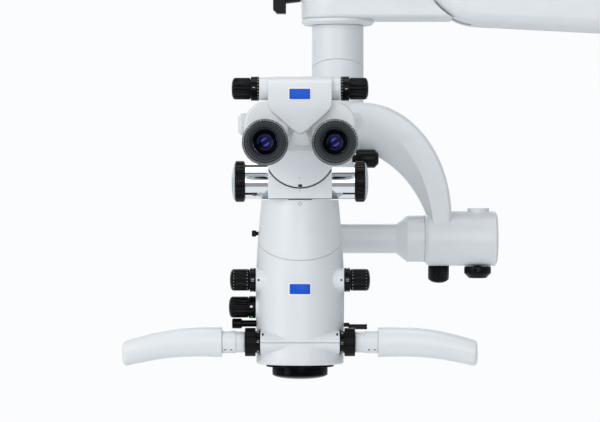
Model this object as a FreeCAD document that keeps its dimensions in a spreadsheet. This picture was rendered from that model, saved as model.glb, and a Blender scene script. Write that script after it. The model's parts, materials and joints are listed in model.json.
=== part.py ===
import FreeCAD, Part
import os
import math
import Sketcher

# Surgical microscope on its spring arm, in millimetres, +Z up.
# The origin is the shoulder of the pin that drops into the stand. The arm runs towards -X and the
# user sits on the -Y side, looking along +Y into the eyepieces. Left and right are the user's.

SIZES = (
    # Reach of the suspension
    ("pivot_height", 150.0),
    ("rear_pivot_offset", 130.0),
    ("arm_length", 430.0),
    ("column_offset", 145.4),
    ("head_side", 38.3),
    ("head_forward", 62.0),
    ("head_drop", 277.0),
    # Clearances
    ("running_gap", 0.05),
    ("seat_gap", 0.3),
    ("pivot_play", 0.35),
    # Spindle
    ("pin_radius", 15.0),
    ("pin_length", 60.0),
    ("pin_chamfer", 1.5),
    ("spindle_flange_radius", 34.0),
    ("spindle_flange_height", 8.0),
    ("spindle_journal_radius", 18.0),
    ("spindle_journal_top", 180.0),
    ("thread_radius", 10.0),
    ("nut_radius", 16.0),
    ("nut_height", 10.0),
    # Rear block
    ("rear_boss_radius", 44.0),
    ("rear_block_top", 215.0),
    ("rear_neck_bottom", 85.0),
    ("recess_radius", 24.0),
    ("cap_radius", 27.0),
    ("cap_height", 6.0),
    # Spring arm
    ("arm_width", 74.5),
    ("cover_front_radius", 60.0),
    ("cover_rear_radius", 82.0),
    ("cover_wall", 3.0),
    ("cover_gap", 1.2),
    ("cover_soft_edge", 12.0),
    ("cover_boss_radius", 8.0),
    ("cover_slot_front_depth", 51.0),
    ("cover_slot_front_drop", 62.0),
    ("cover_slot_front_rise", 39.0),
    ("cover_slot_rear_depth", 46.0),
    ("cover_slot_rear_drop", 66.0),
    ("cover_slot_rear_rise", 47.0),
    ("tongue_width", 26.0),
    ("tongue_rise", 14.0),
    ("tongue_link_eye", 10.0),
    ("tongue_overlap", 10.0),
    ("link_drop", 28.0),
    ("beam_half_height", 16.0),
    ("beam_wall", 4.0),
    ("beam_cheek", 5.7),
    ("beam_slot_length", 24.0),
    ("link_half_height", 8.0),
    ("main_pin_radius", 7.0),
    ("link_pin_radius", 4.5),
    ("spring_length", 250.0),
    ("spring_radius", 10.0),
    ("spring_collar_length", 8.0),
    # End block and column
    ("end_block_drop", 53.8),
    ("end_block_rise", 41.0),
    ("end_block_soft_edge", 4.0),
    ("bearing_cap_height", 5.8),
    ("bearing_cap_chamfer", 3.0),
    ("column_radius", 26.5),
    ("column_journal_radius", 20.0),
    ("column_journal_top", 15.0),
    ("column_spigot_radius", 18.0),
    ("column_tail_radius", 16.0),
    ("column_tail_length", 18.0),
    ("column_seam_rise", 9.9),
    ("column_seam_height", 172.5),
    ("hub_bottom", 91.2),
    ("lock_axis_drop", 25.5),
    ("lock_screw_radius", 5.0),
    ("lock_stem_length", 16.0),
    ("lock_stem_small", 10.2),
    ("lock_stem_large", 12.1),
    ("lock_bar_half", 22.2),
    ("lock_bar_thick", 12.2),
    ("lock_bar_depth", 15.0),
    ("lock_bar_corner", 4.0),
    ("lock_bar_lap", 1.0),
    # Curved carrier arm, as three ellipses seen from the front about the tilt axis
    ("arm_outer_side", 62.8),
    ("arm_outer_height", 21.5),
    ("arm_outer_reach", 90.8),
    ("arm_outer_rise", 116.5),
    ("arm_ridge_side", 47.2),
    ("arm_ridge_height", -1.6),
    ("arm_ridge_reach", 88.8),
    ("arm_ridge_rise", 125.6),
    ("arm_inner_height", -23.8),
    ("arm_inner_reach", 99.6),
    ("arm_inner_rise", 117.6),
    ("arm_half_depth", 24.0),
    ("arm_edge_chamfer", 3.0),
    ("arm_inner_half_depth", 10.0),
    ("arm_start_angle", 86.0),
    ("arm_end_angle", 15.0),
    # Tilt coupling
    ("coupling_start", 126.9),
    ("coupling_length", 70.1),
    ("coupling_radius", 27.85),
    ("coupling_chamfer", 4.0),
    ("coupling_cap_length", 4.0),
    ("coupling_cap_crown", 2.0),
    ("bush_radius", 21.0),
    ("bush_end", 188.0),
    ("coupling_recess_radius", 24.0),
    ("axle_radius", 15.0),
    ("axle_journal_radius", 18.0),
    ("axle_flare_start", 98.0),
    ("axle_flare_end", 109.0),
    ("axle_collar_radius", 23.8),
    ("axle_inner_end", 28.0),
    ("top_cap_radius", 11.0),
    ("top_cap_rise", 3.1),
    ("top_cap_side", 181.9),
    ("tilt_brake_side", 141.9),
    ("tilt_brake_lean", 18.0),
    ("tilt_brake_radius", 10.7),
    ("tilt_brake_length", 16.8),
    ("clamp_side", 181.2),
    ("clamp_radius", 13.7),
    ("clamp_length", 12.2),
    ("brake_stem_radius", 4.0),
    ("brake_base_chamfer", 1.0),
    ("tilt_brake_dome", 2.0),
    ("clamp_dome", 5.0),
    ("swing_brake_dome", 4.0),
    ("swing_brake_height", 81.2),
    ("swing_brake_radius", 9.4),
    ("swing_brake_start", 18.0),
    ("swing_brake_forward", 20.0),
    ("swing_lug_end", 14.5),
    ("swing_lug_start", 8.0),
    ("swing_lug_half_width", 6.5),
    ("swing_brake_length", 23.0),
    # Rear bracket
    ("bracket_half_width", 30.0),
    ("bracket_half_height", 22.0),
    ("bracket_half_depth", 22.0),
    ("bracket_soft_edge", 5.0),
    # Optical head: elliptical in plan
    ("head_half_width", 43.5),
    ("head_half_depth", 45.0),
    ("head_mid_half_width", 41.9),
    ("head_mid_half_depth", 43.4),
    ("head_top_half_width", 38.5),
    ("head_top_half_depth", 40.0),
    ("head_top", 39.1),
    ("head_mid", 1.1),
    ("head_shoulder", -26.0),
    ("head_bottom", -124.4),
    ("head_bottom_edge", 2.0),
    ("base_seam", -102.1),
    ("cover_seam_rise", 22.3),
    ("panel_gap", 0.5),
    ("cavity_half_width", 33.0),
    ("cavity_half_depth", 38.0),
    ("cavity_floor", -104.0),
    ("cavity_roof", 33.0),
    ("control_forward", 19.0),
    # Objective
    ("objective_bore", 24.0),
    ("objective_flange_radius", 33.8),
    ("objective_flange_height", 2.8),
    ("hood_radius", 27.65),
    ("hood_wall", 2.6),
    ("hood_drop", 12.7),
    ("hood_slope_rise", 4.7),
    ("glass_height", 2.0),
    ("glass_inset", 1.6),
    ("lens_cell_height", 14.0),
    ("lens_cell_inset", 10.0),
    ("lens_half_aperture", 20.0),
    ("lens_bulge", 2.0),
    # Magnification control
    ("magnification_height", -40.3),
    ("magnification_boss_radius", 11.8),
    ("magnification_boss_end", 43.6),
    ("magnification_dial_radius", 11.9),
    ("magnification_dial_end", 49.8),
    ("magnification_knob_radius", 10.8),
    ("magnification_knob_end", 69.6),
    ("control_shaft_radius", 4.0),
    ("drum_forward", -6.0),
    ("drum_radius", 16.0),
    ("drum_half_length", 24.0),
    ("drum_gear_radius", 17.0),
    ("pinion_radius", 7.6),
    ("gear_width", 4.0),
    ("gear_start", 19.0),
    ("drum_trunnion_radius", 4.0),
    ("drum_trunnion_end", 37.0),
    ("drum_window_radius", 7.0),
    ("drum_window_side", 11.0),
    ("flute_radius", 0.9),
    ("flute_count", 20),
    ("crown_height", 2.6),
    # Filter control, lever and aperture rod
    ("side_control_forward", 4.0),
    ("filter_height", -67.8),
    ("filter_boss_radius", 11.9),
    ("filter_boss_end", 43.9),
    ("filter_dial_radius", 11.2),
    ("filter_dial_end", 51.1),
    ("filter_knob_radius", 10.6),
    ("filter_knob_end", 71.0),
    ("filter_shaft_radius", 3.0),
    ("filter_shaft_start", 34.0),
    ("aperture_height", -84.2),
    ("aperture_stem_radius", 3.35),
    ("aperture_knob_radius", 5.05),
    ("aperture_knob_start", 57.3),
    ("aperture_knob_end", 67.8),
    ("aperture_stem_start", 34.0),
    ("aperture_flare", 1.5),
    ("aperture_edge", 0.8),
    ("selector_back", 4.0),
    ("selector_height", -85.8),
    ("selector_pivot_side", 37.0),
    ("selector_pin_radius", 1.5),
    ("selector_pin_half", 5.0),
    ("selector_stem_half_width", 2.0),
    ("selector_stem_half_height", 2.1),
    ("selector_stem_end", 49.4),
    ("selector_lap", 1.0),
    ("selector_bar_end", 67.1),
    ("selector_bar_half_width", 2.5),
    ("selector_bar_height", 5.1),
    ("selector_bar_drop", 4.5),
    ("selector_slot_half_width", 4.0),
    # Focus rings and handles
    ("focus_boss_radius", 11.6),
    ("focus_boss_end", 39.1),
    ("focus_boss_start", 28.0),
    ("focus_bar_forward", 22.0),
    ("focus_bar_half_depth", 22.0),
    ("focus_dial_radius", 10.9),
    ("focus_ring_start", 44.1),
    ("focus_ring_radius", 14.1),
    ("focus_ring_end", 54.6),
    ("neck_tube_radius", 7.5),
    ("neck_radius", 10.4),
    ("neck_end", 63.6),
    ("socket_radius", 11.2),
    ("socket_end", 77.2),
    ("spigot_radius", 8.0),
    ("spigot_end", 97.0),
    ("grip_half_depth", 12.2),
    ("grip_half_height_1", 14.9),
    ("grip_reach_2", 104.5),
    ("grip_rise_2", 0.2),
    ("grip_half_height_2", 14.7),
    ("grip_reach_3", 128.6),
    ("grip_rise_3", -1.6),
    ("grip_half_height_3", 14.2),
    ("grip_reach_4", 152.6),
    ("grip_rise_4", -5.8),
    ("grip_half_height_4", 13.6),
    ("grip_reach_5", 176.0),
    ("grip_rise_5", -11.7),
    ("grip_half_height_5", 12.8),
    ("grip_end_soften", 4.0),
    # Thumb screw on the side
    ("thumb_height", 5.6),
    ("thumb_head_radius", 3.2),
    ("thumb_stem_radius", 2.0),
    ("thumb_head_start", 43.9),
    ("thumb_head_end", 48.2),
    ("thumb_stem_start", 34.0),
    ("thumb_edge", 0.6),
    # Tilting cradle under the binocular
    ("cradle_axis_height", 57.7),
    ("cradle_radius", 18.0),
    ("cradle_half_width", 31.5),
    ("cradle_front", 45.0),
    ("neck_seam", 1.3),
    ("cradle_top", 60.0),
    ("cradle_top_front", 25.0),
    ("cradle_back", 12.0),
    ("cradle_back_rise", 12.0),
    ("lug_half_width", 12.0),
    ("lug_radius", 15.0),
    ("lug_swing", 4.6),
    ("tilt_shaft_radius", 6.0),
    ("barrel_radius", 17.75),
    ("barrel_end", 54.8),
    ("tilt_wheel_radius", 20.6),
    ("tilt_wheel_end", 64.7),
    ("tilt_wheel_crown", 3.6),
    ("tilt_wheel_crown_radius", 16.5),
    ("tilt_flute_count", 36),
    # Pendulum disc
    ("pendulum_height", 86.5),
    ("pendulum_radius", 35.2),
    ("pendulum_depth", 10.0),
    ("pendulum_gap", 1.1),
    ("pendulum_chamfer", 1.0),
    ("pendulum_spigot_radius", 14.0),
    ("pendulum_spigot_length", 24.0),
    # Hinge between the pendulum and the eyepieces
    ("hinge_forward", 70.0),
    ("hinge_height", 112.8),
    ("hinge_radius", 11.0),
    ("hinge_half_length", 60.4),
    ("hinge_journal_radius", 8.0),
    ("hinge_chamfer", 3.0),
    ("hinge_bearing_radius", 12.0),
    ("hinge_bearing_half", 13.5),
    # Bridge that carries the eyepieces
    ("bridge_half_width", 30.0),
    ("web_back", 84.0),
    ("web_front", 90.0),
    ("web_bottom", 99.5),
    ("rail_front", 95.0),
    ("rail_bottom", 108.0),
    ("rail_top", 118.0),
    ("barrel_forward", 100.0),
    ("barrel_rise", 52.7),
    ("sleeve_radius", 11.3),
    ("sleeve_end", 38.8),
    ("cheek_half_height", 9.0),
    ("cheek_lap", 1.0),
    ("plate_half_width", 31.0),
    ("plate_back", 112.3),
    ("plate_front", 117.0),
    ("plate_cover", 11.8),
    ("plate_shoulder_drop", 17.8),
    ("plate_corner_drop", 23.2),
    ("plate_corner_side", 27.0),
    ("plate_tip_side", 5.9),
    ("plate_tip_shoulder_drop", 41.7),
    ("plate_tip_drop", 44.6),
    ("shield_half_top", 4.5),
    ("shield_half_bottom", 10.6),
    ("shield_bottom_drop", 54.8),
    ("shield_thick", 1.5),
    ("pd_dial_radius", 11.75),
    ("pd_dial_start", 39.4),
    ("pd_dial_end", 47.6),
    ("pd_knob_radius", 10.6),
    ("pd_knob_end", 66.2),
    # Prism housings and eyepieces
    ("eye_side", 33.3),
    ("eye_height", 93.7),
    ("prism_lower_radius", 21.0),
    ("prism_upper_radius", 21.7),
    ("prism_top_gap", 1.2),
    ("prism_upper_side", 31.9),
    ("prism_back", 90.3),
    ("prism_front", 112.0),
    ("prism_soft_edge", 2.5),
    ("eyepiece_bore", 14.0),
    ("eyepiece_spigot_back", 101.0),
    ("eyepiece_flange_radius", 17.0),
    ("eyepiece_flange_back", 114.3),
    ("eyepiece_flange_front", 128.0),
    ("eyepiece_tube_radius", 13.5),
    ("eyepiece_tube_front", 147.0),
    ("lens_bore", 11.6),
    ("lens_seat", 140.0),
    ("lens_height", 4.0),
    ("dioptre_radius", 22.25),
    ("dioptre_bevel", 2.2),
    ("dioptre_bevel_length", 4.5),
    ("dioptre_flute_count", 40),
    ("dioptre_flute_radius", 0.6),
    ("eyecup_radius", 19.0),
    ("eyecup_front_radius", 17.2),
    ("eyecup_length", 11.0),
    ("eyecup_mouth", 14.0),
    ("eyecup_bore", 12.2),
    ("eyecup_start", 147.6),
)

V = FreeCAD.Vector
doc = FreeCAD.newDocument("SurgicalMicroscope")
sheet = doc.addObject("Spreadsheet::Sheet", "Sizes")
for row, (alias, length) in enumerate(SIZES, start=1):
    sheet.set("A%d" % row, alias)
    sheet.set("B%d" % row, str(length))
    sheet.setAlias("B%d" % row, alias)
doc.recompute()

STRAIGHT = FreeCAD.Rotation()
TO_RIGHT = FreeCAD.Rotation(V(0, 1, 0), 90)
TO_LEFT = FreeCAD.Rotation(V(0, 1, 0), -90)
TO_FRONT = FreeCAD.Rotation(V(1, 0, 0), 90)
DOWNWARD = FreeCAD.Rotation(V(1, 0, 0), 180)
nodes = []


class Size:
    """A length that knows its number and the formula on the sheet that drives it."""

    def __init__(self, number, formula):
        self.number = float(number)
        self.formula = formula

    def __add__(self, other):
        return combine(self, "+", other)

    def __radd__(self, other):
        return combine(other, "+", self)

    def __sub__(self, other):
        return combine(self, "-", other)

    def __rsub__(self, other):
        return combine(other, "-", self)

    def __mul__(self, other):
        return combine(self, "*", other)

    def __rmul__(self, other):
        return combine(other, "*", self)

    def __truediv__(self, other):
        return combine(self, "/", other)

    def __neg__(self):
        return combine(0, "-", self)


def as_size(value):
    """The value as a Size; a plain number becomes a constant."""
    if isinstance(value, Size):
        return value
    return Size(value, "(%s)" % value)


def combine(first, sign, second):
    """Two sizes joined by an arithmetic sign, as a number and as a formula."""
    first = as_size(first)
    second = as_size(second)
    number = {
        "+": lambda: first.number + second.number,
        "-": lambda: first.number - second.number,
        "*": lambda: first.number * second.number,
        "/": lambda: first.number / second.number,
    }[sign]()
    return Size(number, "(%s %s %s)" % (first.formula, sign, second.formula))


def square_root(value):
    """The square root of a size."""
    return Size(math.sqrt(value.number), "sqrt(%s)" % value.formula)


class Sheet:
    """The sizes on the sheet, read by name."""

    def __getattr__(self, alias):
        return Size(sheet.get(alias), "Sizes.%s" % alias)


size = Sheet()


def bind(item, name, value):
    """Sets a property to a size and ties it to the sheet."""
    value = as_size(value)
    setattr(item, name, value.number)
    item.setExpression(name, value.formula)


def place(item, at, turn=STRAIGHT):
    """Puts an object's own origin at a driven point, turned by a fixed rotation."""
    at = [as_size(value) for value in at]
    item.Placement = FreeCAD.Placement(V(*[value.number for value in at]), turn)
    for letter, value in zip("xyz", at):
        item.setExpression("Placement.Base." + letter, value.formula)
    return item


def keep(item):
    """Marks a finished object as a piece of the microscope."""
    item.Label = item.Name
    nodes.append(item)
    return item


def origin_plane(body, role):
    """One of the origin planes of a body."""
    return next(plane for plane in body.Origin.OriginFeatures if plane.Role == role)


def outline(body, name, points, plane):
    """A closed sketch of straight edges whose corners are driven by sizes."""
    sketch = body.newObject("Sketcher::SketchObject", name)
    sketch.AttachmentSupport = [(origin_plane(body, plane), "")]
    sketch.MapMode = "FlatFace"
    corners = [(as_size(across), as_size(up)) for across, up in points]
    spots = [V(across.number, up.number, 0) for across, up in corners]
    count = len(corners)
    for index in range(count):
        sketch.addGeometry(Part.LineSegment(spots[index], spots[(index + 1) % count]), False)
    for index in range(count):
        sketch.addConstraint(Sketcher.Constraint("Coincident", index, 2, (index + 1) % count, 1))
    for index, (across, up) in enumerate(corners):
        for kind, value in (("DistanceX", across), ("DistanceY", up)):
            number = sketch.addConstraint(Sketcher.Constraint(kind, -1, 1, index, 1, value.number))
            sketch.setExpression("Constraints[%d]" % number, value.formula)
    return sketch


def turned(name, points, at, turn=STRAIGHT):
    """A turned piece: an outline of (radius, height) corners revolved about its own Z."""
    body = doc.addObject("PartDesign::Body", name)
    sketch = outline(body, name + "_profile", points, "XZ_Plane")
    revolution = body.newObject("PartDesign::Revolution", name + "_turning")
    revolution.Profile = sketch
    revolution.ReferenceAxis = (sketch, ["V_Axis"])
    revolution.Angle = 360
    place(body, at, turn)
    return body


def padded(name, points, plane, depth, at):
    """A plate: an outline on an origin plane, padded evenly to both sides."""
    body = doc.addObject("PartDesign::Body", name)
    sketch = outline(body, name + "_outline", points, plane)
    pad = body.newObject("PartDesign::Pad", name + "_pad")
    pad.Profile = sketch
    pad.SideType = "Symmetric"
    bind(pad, "Length", depth)
    place(body, at)
    return body


def flute(body, name, pitch_radius, radius, count):
    """Round grooves along a turned piece, cut above its own origin plane."""
    doc.recompute()
    sketch = body.newObject("Sketcher::SketchObject", name + "_groove")
    sketch.AttachmentSupport = [(origin_plane(body, "XY_Plane"), "")]
    sketch.MapMode = "FlatFace"
    sketch.addGeometry(Part.Circle(V(pitch_radius.number, 0, 0), V(0, 0, 1), radius.number), False)
    sketch.addConstraint(Sketcher.Constraint("PointOnObject", 0, 3, -1))
    driven = (("DistanceX", (-1, 1, 0, 3), pitch_radius), ("Radius", (0,), radius))
    for kind, target, value in driven:
        number = sketch.addConstraint(Sketcher.Constraint(kind, *target, value.number))
        sketch.setExpression("Constraints[%d]" % number, value.formula)
    pocket = body.newObject("PartDesign::Pocket", name + "_cut")
    pocket.Profile = sketch
    pocket.Type = "ThroughAll"
    pocket.Reversed = True
    pattern = body.newObject("PartDesign::PolarPattern", name + "_grooves")
    pattern.Originals = [pocket]
    pattern.Axis = (sketch, ["N_Axis"])
    pattern.Angle = 360
    pattern.Occurrences = int(as_size(count).number)
    pattern.setExpression("Occurrences", as_size(count).formula)
    body.Tip = pattern
    return body


def cylinder(name, radius, length, at, turn=STRAIGHT):
    """A plain cylinder along its own Z from the given point."""
    item = doc.addObject("Part::Cylinder", name)
    bind(item, "Radius", radius)
    bind(item, "Height", length)
    return place(item, at, turn)


def block(name, across, along, up):
    """A box between pairs of X, Y and Z limits."""
    item = doc.addObject("Part::Box", name)
    bind(item, "Length", across[1] - across[0])
    bind(item, "Width", along[1] - along[0])
    bind(item, "Height", up[1] - up[0])
    return place(item, (across[0], along[0], up[0]))


def fused(name, *items):
    """Several overlapping objects as one solid."""
    item = doc.addObject("Part::MultiFuse", name)
    item.Shapes = list(items)
    item.Refine = True
    return item


def cut(name, base, *tools):
    """An object with one or more tools taken away, one after the other."""
    for number, tool in enumerate(tools, start=1):
        last = number == len(tools)
        item = doc.addObject("Part::Cut", name if last else "%s_cut_%d" % (name, number))
        item.Base = base
        item.Tool = tool
        base = item
    return base


def common(name, first, second):
    """What two objects share."""
    item = doc.addObject("Part::Common", name)
    item.Base = first
    item.Tool = second
    return item


def softened(name, base, radius, chosen):
    """An object with fillets on the edges that the chosen test accepts."""
    doc.recompute()
    item = doc.addObject("Part::Fillet", name)
    item.Base = base
    edges = enumerate(base.Shape.Edges, start=1)
    item.Edges = [(index, radius.number, radius.number) for index, edge in edges if chosen(edge)]
    return item


def mirrored(name, source, x=None, y=None):
    """A copy of an object mirrored through a plane of constant X or of constant Y."""
    item = doc.addObject("Part::Mirroring", name)
    item.Source = source
    item.Normal = V(1, 0, 0) if x is not None else V(0, 1, 0)
    letter, value = ("x", as_size(x)) if x is not None else ("y", as_size(y))
    item.setExpression("Base." + letter, value.formula)
    return item


# Key points that every section shares

rear_pivot_x = -size.rear_pivot_offset
front_pivot_x = rear_pivot_x - size.arm_length
column_x = front_pivot_x - size.column_offset
head_x = column_x - size.head_side
head_y = -size.head_forward
tilt_z = size.pivot_height - size.head_drop
link_z = size.pivot_height - size.link_drop
half_arm = size.arm_width / 2
SIDES = (("left", -1), ("right", 1))


barrel_height = size.eye_height + size.barrel_rise
prism_upper_height = barrel_height - size.sleeve_radius - size.prism_top_gap - size.prism_upper_radius


def at_head(side=0, forward=0, height=0):
    """A point of the head from its axis: to the user's right, towards the user, and up."""
    return head_x + side, head_y - forward, tilt_z + height


def outward(side):
    """The rotation that points a turned piece to the left or to the right."""
    return TO_LEFT if side < 0 else TO_RIGHT


def hex_nut(name, at):
    """A hexagon nut on a threaded end."""
    prism = doc.addObject("Part::Prism", name + "_hexagon")
    prism.Polygon = 6
    bind(prism, "Circumradius", size.nut_radius)
    bind(prism, "Height", size.nut_height)
    place(prism, at)
    bore = cylinder(name + "_bore", size.thread_radius + size.running_gap, size.nut_height, at)
    return keep(cut(name, prism, bore))


def tongue(name, pivot_x, toward):
    """The flat tongue of a block that reaches into the arm and takes both pivot pins."""
    reach = size.cover_front_radius if toward < 0 else size.cover_rear_radius
    far_x = pivot_x + toward * (reach + size.tongue_overlap)
    half = size.tongue_width / 2
    limits = (far_x, pivot_x) if toward < 0 else (pivot_x, far_x)
    up = (link_z - size.tongue_link_eye, size.pivot_height + size.tongue_rise)
    plate = block(name + "_plate", limits, (-half, half), up)
    main_eye = cylinder(name + "_main_eye", size.tongue_rise, size.tongue_width,
                        (pivot_x, half, size.pivot_height), TO_FRONT)
    link_eye = cylinder(name + "_link_eye", size.tongue_link_eye, size.tongue_width,
                        (pivot_x, half, link_z), TO_FRONT)
    return [plate, main_eye, link_eye]


def pin_holes(name, pivot_x, main_gap, link_gap):
    """The two cross holes for the pivot pins, wider than the pins by the given gaps."""
    main_hole = cylinder(name + "_main_hole", size.main_pin_radius + main_gap, size.arm_width,
                         (pivot_x, half_arm, size.pivot_height), TO_FRONT)
    link_hole = cylinder(name + "_link_hole", size.link_pin_radius + link_gap, size.arm_width,
                         (pivot_x, half_arm, link_z), TO_FRONT)
    return [main_hole, link_hole]


def pivot_pins(name, pivot_x):
    """The main pin and the link pin of one end of the arm."""
    half = size.tongue_width / 2 + size.seat_gap + size.beam_cheek
    pins = [cylinder(name + "_" + kind, radius, half * 2, (pivot_x, half, height), TO_FRONT)
            for kind, radius, height in (("main", size.main_pin_radius, size.pivot_height),
                                         ("link", size.link_pin_radius, link_z))]
    return keep(fused(name, *pins))


# Spindle, rear block and end block

def make_spindle():
    """The pin that drops into the stand, with its flange, journal and thread."""
    top = size.spindle_journal_top
    turned_spindle = turned("stand_spindle", [
        (0, -size.pin_length),
        (size.pin_radius - size.pin_chamfer, -size.pin_length),
        (size.pin_radius, size.pin_chamfer - size.pin_length),
        (size.pin_radius, 0),
        (size.spindle_flange_radius, 0),
        (size.spindle_flange_radius, size.spindle_flange_height),
        (size.spindle_journal_radius, size.spindle_flange_height),
        (size.spindle_journal_radius, top),
        (size.thread_radius, top),
        (size.thread_radius, top + size.nut_height + size.pin_chamfer),
        (0, top + size.nut_height + size.pin_chamfer),
    ], (0, 0, 0))
    keep(turned_spindle)
    hex_nut("spindle_nut", (0, 0, top))


def bearing_bore(name, x, journal, bottom, ledge, top):
    """The stepped bore of a block: journal bore, nut recess and cap seat."""
    return turned(name, [
        (0, bottom - size.seat_gap),
        (journal + size.running_gap, bottom - size.seat_gap),
        (journal + size.running_gap, ledge - size.seat_gap),
        (size.recess_radius, ledge - size.seat_gap),
        (size.recess_radius, top - size.cap_height),
        (size.cap_radius + size.running_gap, top - size.cap_height),
        (size.cap_radius + size.running_gap, top + size.seat_gap),
        (0, top + size.seat_gap),
    ], (x, 0, 0))


def make_block_cap(name, x, top):
    """The flush round cap over a block's nut recess."""
    keep(cylinder(name, size.cap_radius, size.cap_height, (x, 0, top - size.cap_height)))


def make_rear_block():
    """The block that swivels on the spindle and holds the arm's rear pivots."""
    bottom = size.spindle_flange_height + size.seat_gap
    top = size.rear_block_top
    boss = cylinder("rear_block_boss", size.rear_boss_radius, top - bottom, (0, 0, bottom))
    neck_up = (size.rear_neck_bottom, top)
    neck = block("rear_block_neck", (rear_pivot_x, as_size(0)), (-half_arm, half_arm), neck_up)
    hollow = cylinder("rear_block_hollow", size.cover_rear_radius + size.cover_gap, size.arm_width,
                      (rear_pivot_x, half_arm, size.pivot_height), TO_FRONT)
    shaped = cut("rear_block_shaped", neck, hollow)
    whole = fused("rear_block_whole", boss, shaped, *tongue("rear_tongue", rear_pivot_x, 1))
    bore = bearing_bore("rear_block_bore", 0, size.spindle_journal_radius, bottom,
                        size.spindle_journal_top, top)
    holes = pin_holes("rear_block", rear_pivot_x, size.running_gap, size.running_gap)
    keep(cut("rear_block", whole, bore, *holes))
    make_block_cap("rear_block_cap", 0, top)
    pivot_pins("rear_pivot_pins", rear_pivot_x)


def make_end_block():
    """The block at the front of the arm, rounded in plan, that holds the column bearing."""
    bottom = size.pivot_height - size.end_block_drop
    top = size.pivot_height + size.end_block_rise
    height = top - bottom
    nose = cylinder("end_block_nose", half_arm, height, (column_x, 0, bottom))
    bar = block("end_block_bar", (column_x, front_pivot_x - size.tongue_overlap),
                (-half_arm, half_arm), (bottom, top))
    stadium = fused("end_block_stadium", nose, bar)
    ends = (bottom.number, top.number)
    back = (front_pivot_x - size.tongue_overlap).number
    soft = softened("end_block_soft", stadium, size.end_block_soft_edge, lambda edge: (
        edge.BoundBox.ZLength < 0.01 and min(abs(edge.BoundBox.ZMin - end) for end in ends) < 0.01
        and edge.BoundBox.XMin < back - 0.01))
    hollow = cylinder("end_block_hollow", size.cover_front_radius + size.cover_gap,
                      size.arm_width, (front_pivot_x, half_arm, size.pivot_height), TO_FRONT)
    shaped = cut("end_block_shaped", soft, hollow)
    whole = fused("end_block_whole", shaped, *tongue("front_tongue", front_pivot_x, -1))
    ledge = size.pivot_height + size.column_journal_top
    bore = bearing_bore("end_block_bore", column_x, size.column_journal_radius, bottom, ledge, top)
    lock_hole = cylinder("end_block_lock_hole", size.lock_screw_radius + size.running_gap, half_arm,
                         (column_x, 0, size.pivot_height - size.lock_axis_drop), TO_LEFT)
    holes = pin_holes("end_block", front_pivot_x, size.running_gap, size.running_gap)
    keep(cut("end_block", whole, bore, lock_hole, *holes))
    make_block_cap("end_block_cap", column_x, top)
    pivot_pins("front_pivot_pins", front_pivot_x)
    drop = -size.bearing_cap_height
    bore_radius = size.column_journal_radius + size.running_gap
    keep(turned("bearing_cap", [
        (bore_radius, 0),
        (half_arm, 0),
        (half_arm, drop + size.bearing_cap_chamfer),
        (half_arm - size.bearing_cap_chamfer, drop),
        (bore_radius, drop),
    ], (column_x, 0, bottom)))


def make_lock_lever():
    """The black clamp lever at the end of the arm: a tapered stem and a cross bar."""
    start = half_arm + size.seat_gap
    stem_end = start + size.lock_stem_length
    axis_z = size.pivot_height - size.lock_axis_drop
    stem = turned("lock_lever_stem", [
        (0, size.column_journal_radius + size.seat_gap),
        (size.lock_screw_radius, size.column_journal_radius + size.seat_gap),
        (size.lock_screw_radius, start),
        (size.lock_stem_small, start),
        (size.lock_stem_large, stem_end),
        (0, stem_end),
    ], (column_x, 0, axis_z), TO_LEFT)
    half = size.lock_bar_half
    far = stem_end + size.lock_bar_thick
    corner = size.lock_bar_corner
    lap = size.lock_bar_lap
    bar = padded("lock_lever_bar", [
        (lap - stem_end, -half),
        (corner - far, -half),
        (-far, corner - half),
        (-far, half - corner),
        (corner - far, half),
        (lap - stem_end, half),
    ], "XZ_Plane", size.lock_bar_depth, (column_x, 0, axis_z))
    keep(fused("lock_lever", stem, bar))


# Spring arm between the pivots

def hull(name, front_radius, rear_radius, along):
    """The outline of the arm's cover: two rounds joined by their tangents, between two depths."""
    lean = (rear_radius - front_radius) / size.arm_length
    rise = square_root(1 - lean * lean)
    depth = along[1] - along[0]
    middle = (along[0] + along[1]) / 2
    sheet_body = padded(name + "_sides", [
        (front_pivot_x - front_radius * lean, -(front_radius * rise)),
        (rear_pivot_x - rear_radius * lean, -(rear_radius * rise)),
        (rear_pivot_x - rear_radius * lean, rear_radius * rise),
        (front_pivot_x - front_radius * lean, front_radius * rise),
    ], "XZ_Plane", depth, (0, middle, size.pivot_height))
    ends = [cylinder(name + "_" + kind, radius, depth, (x, along[1], size.pivot_height), TO_FRONT)
            for kind, radius, x in (("front", front_radius, front_pivot_x),
                                    ("rear", rear_radius, rear_pivot_x))]
    return fused(name, sheet_body, *ends)


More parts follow.
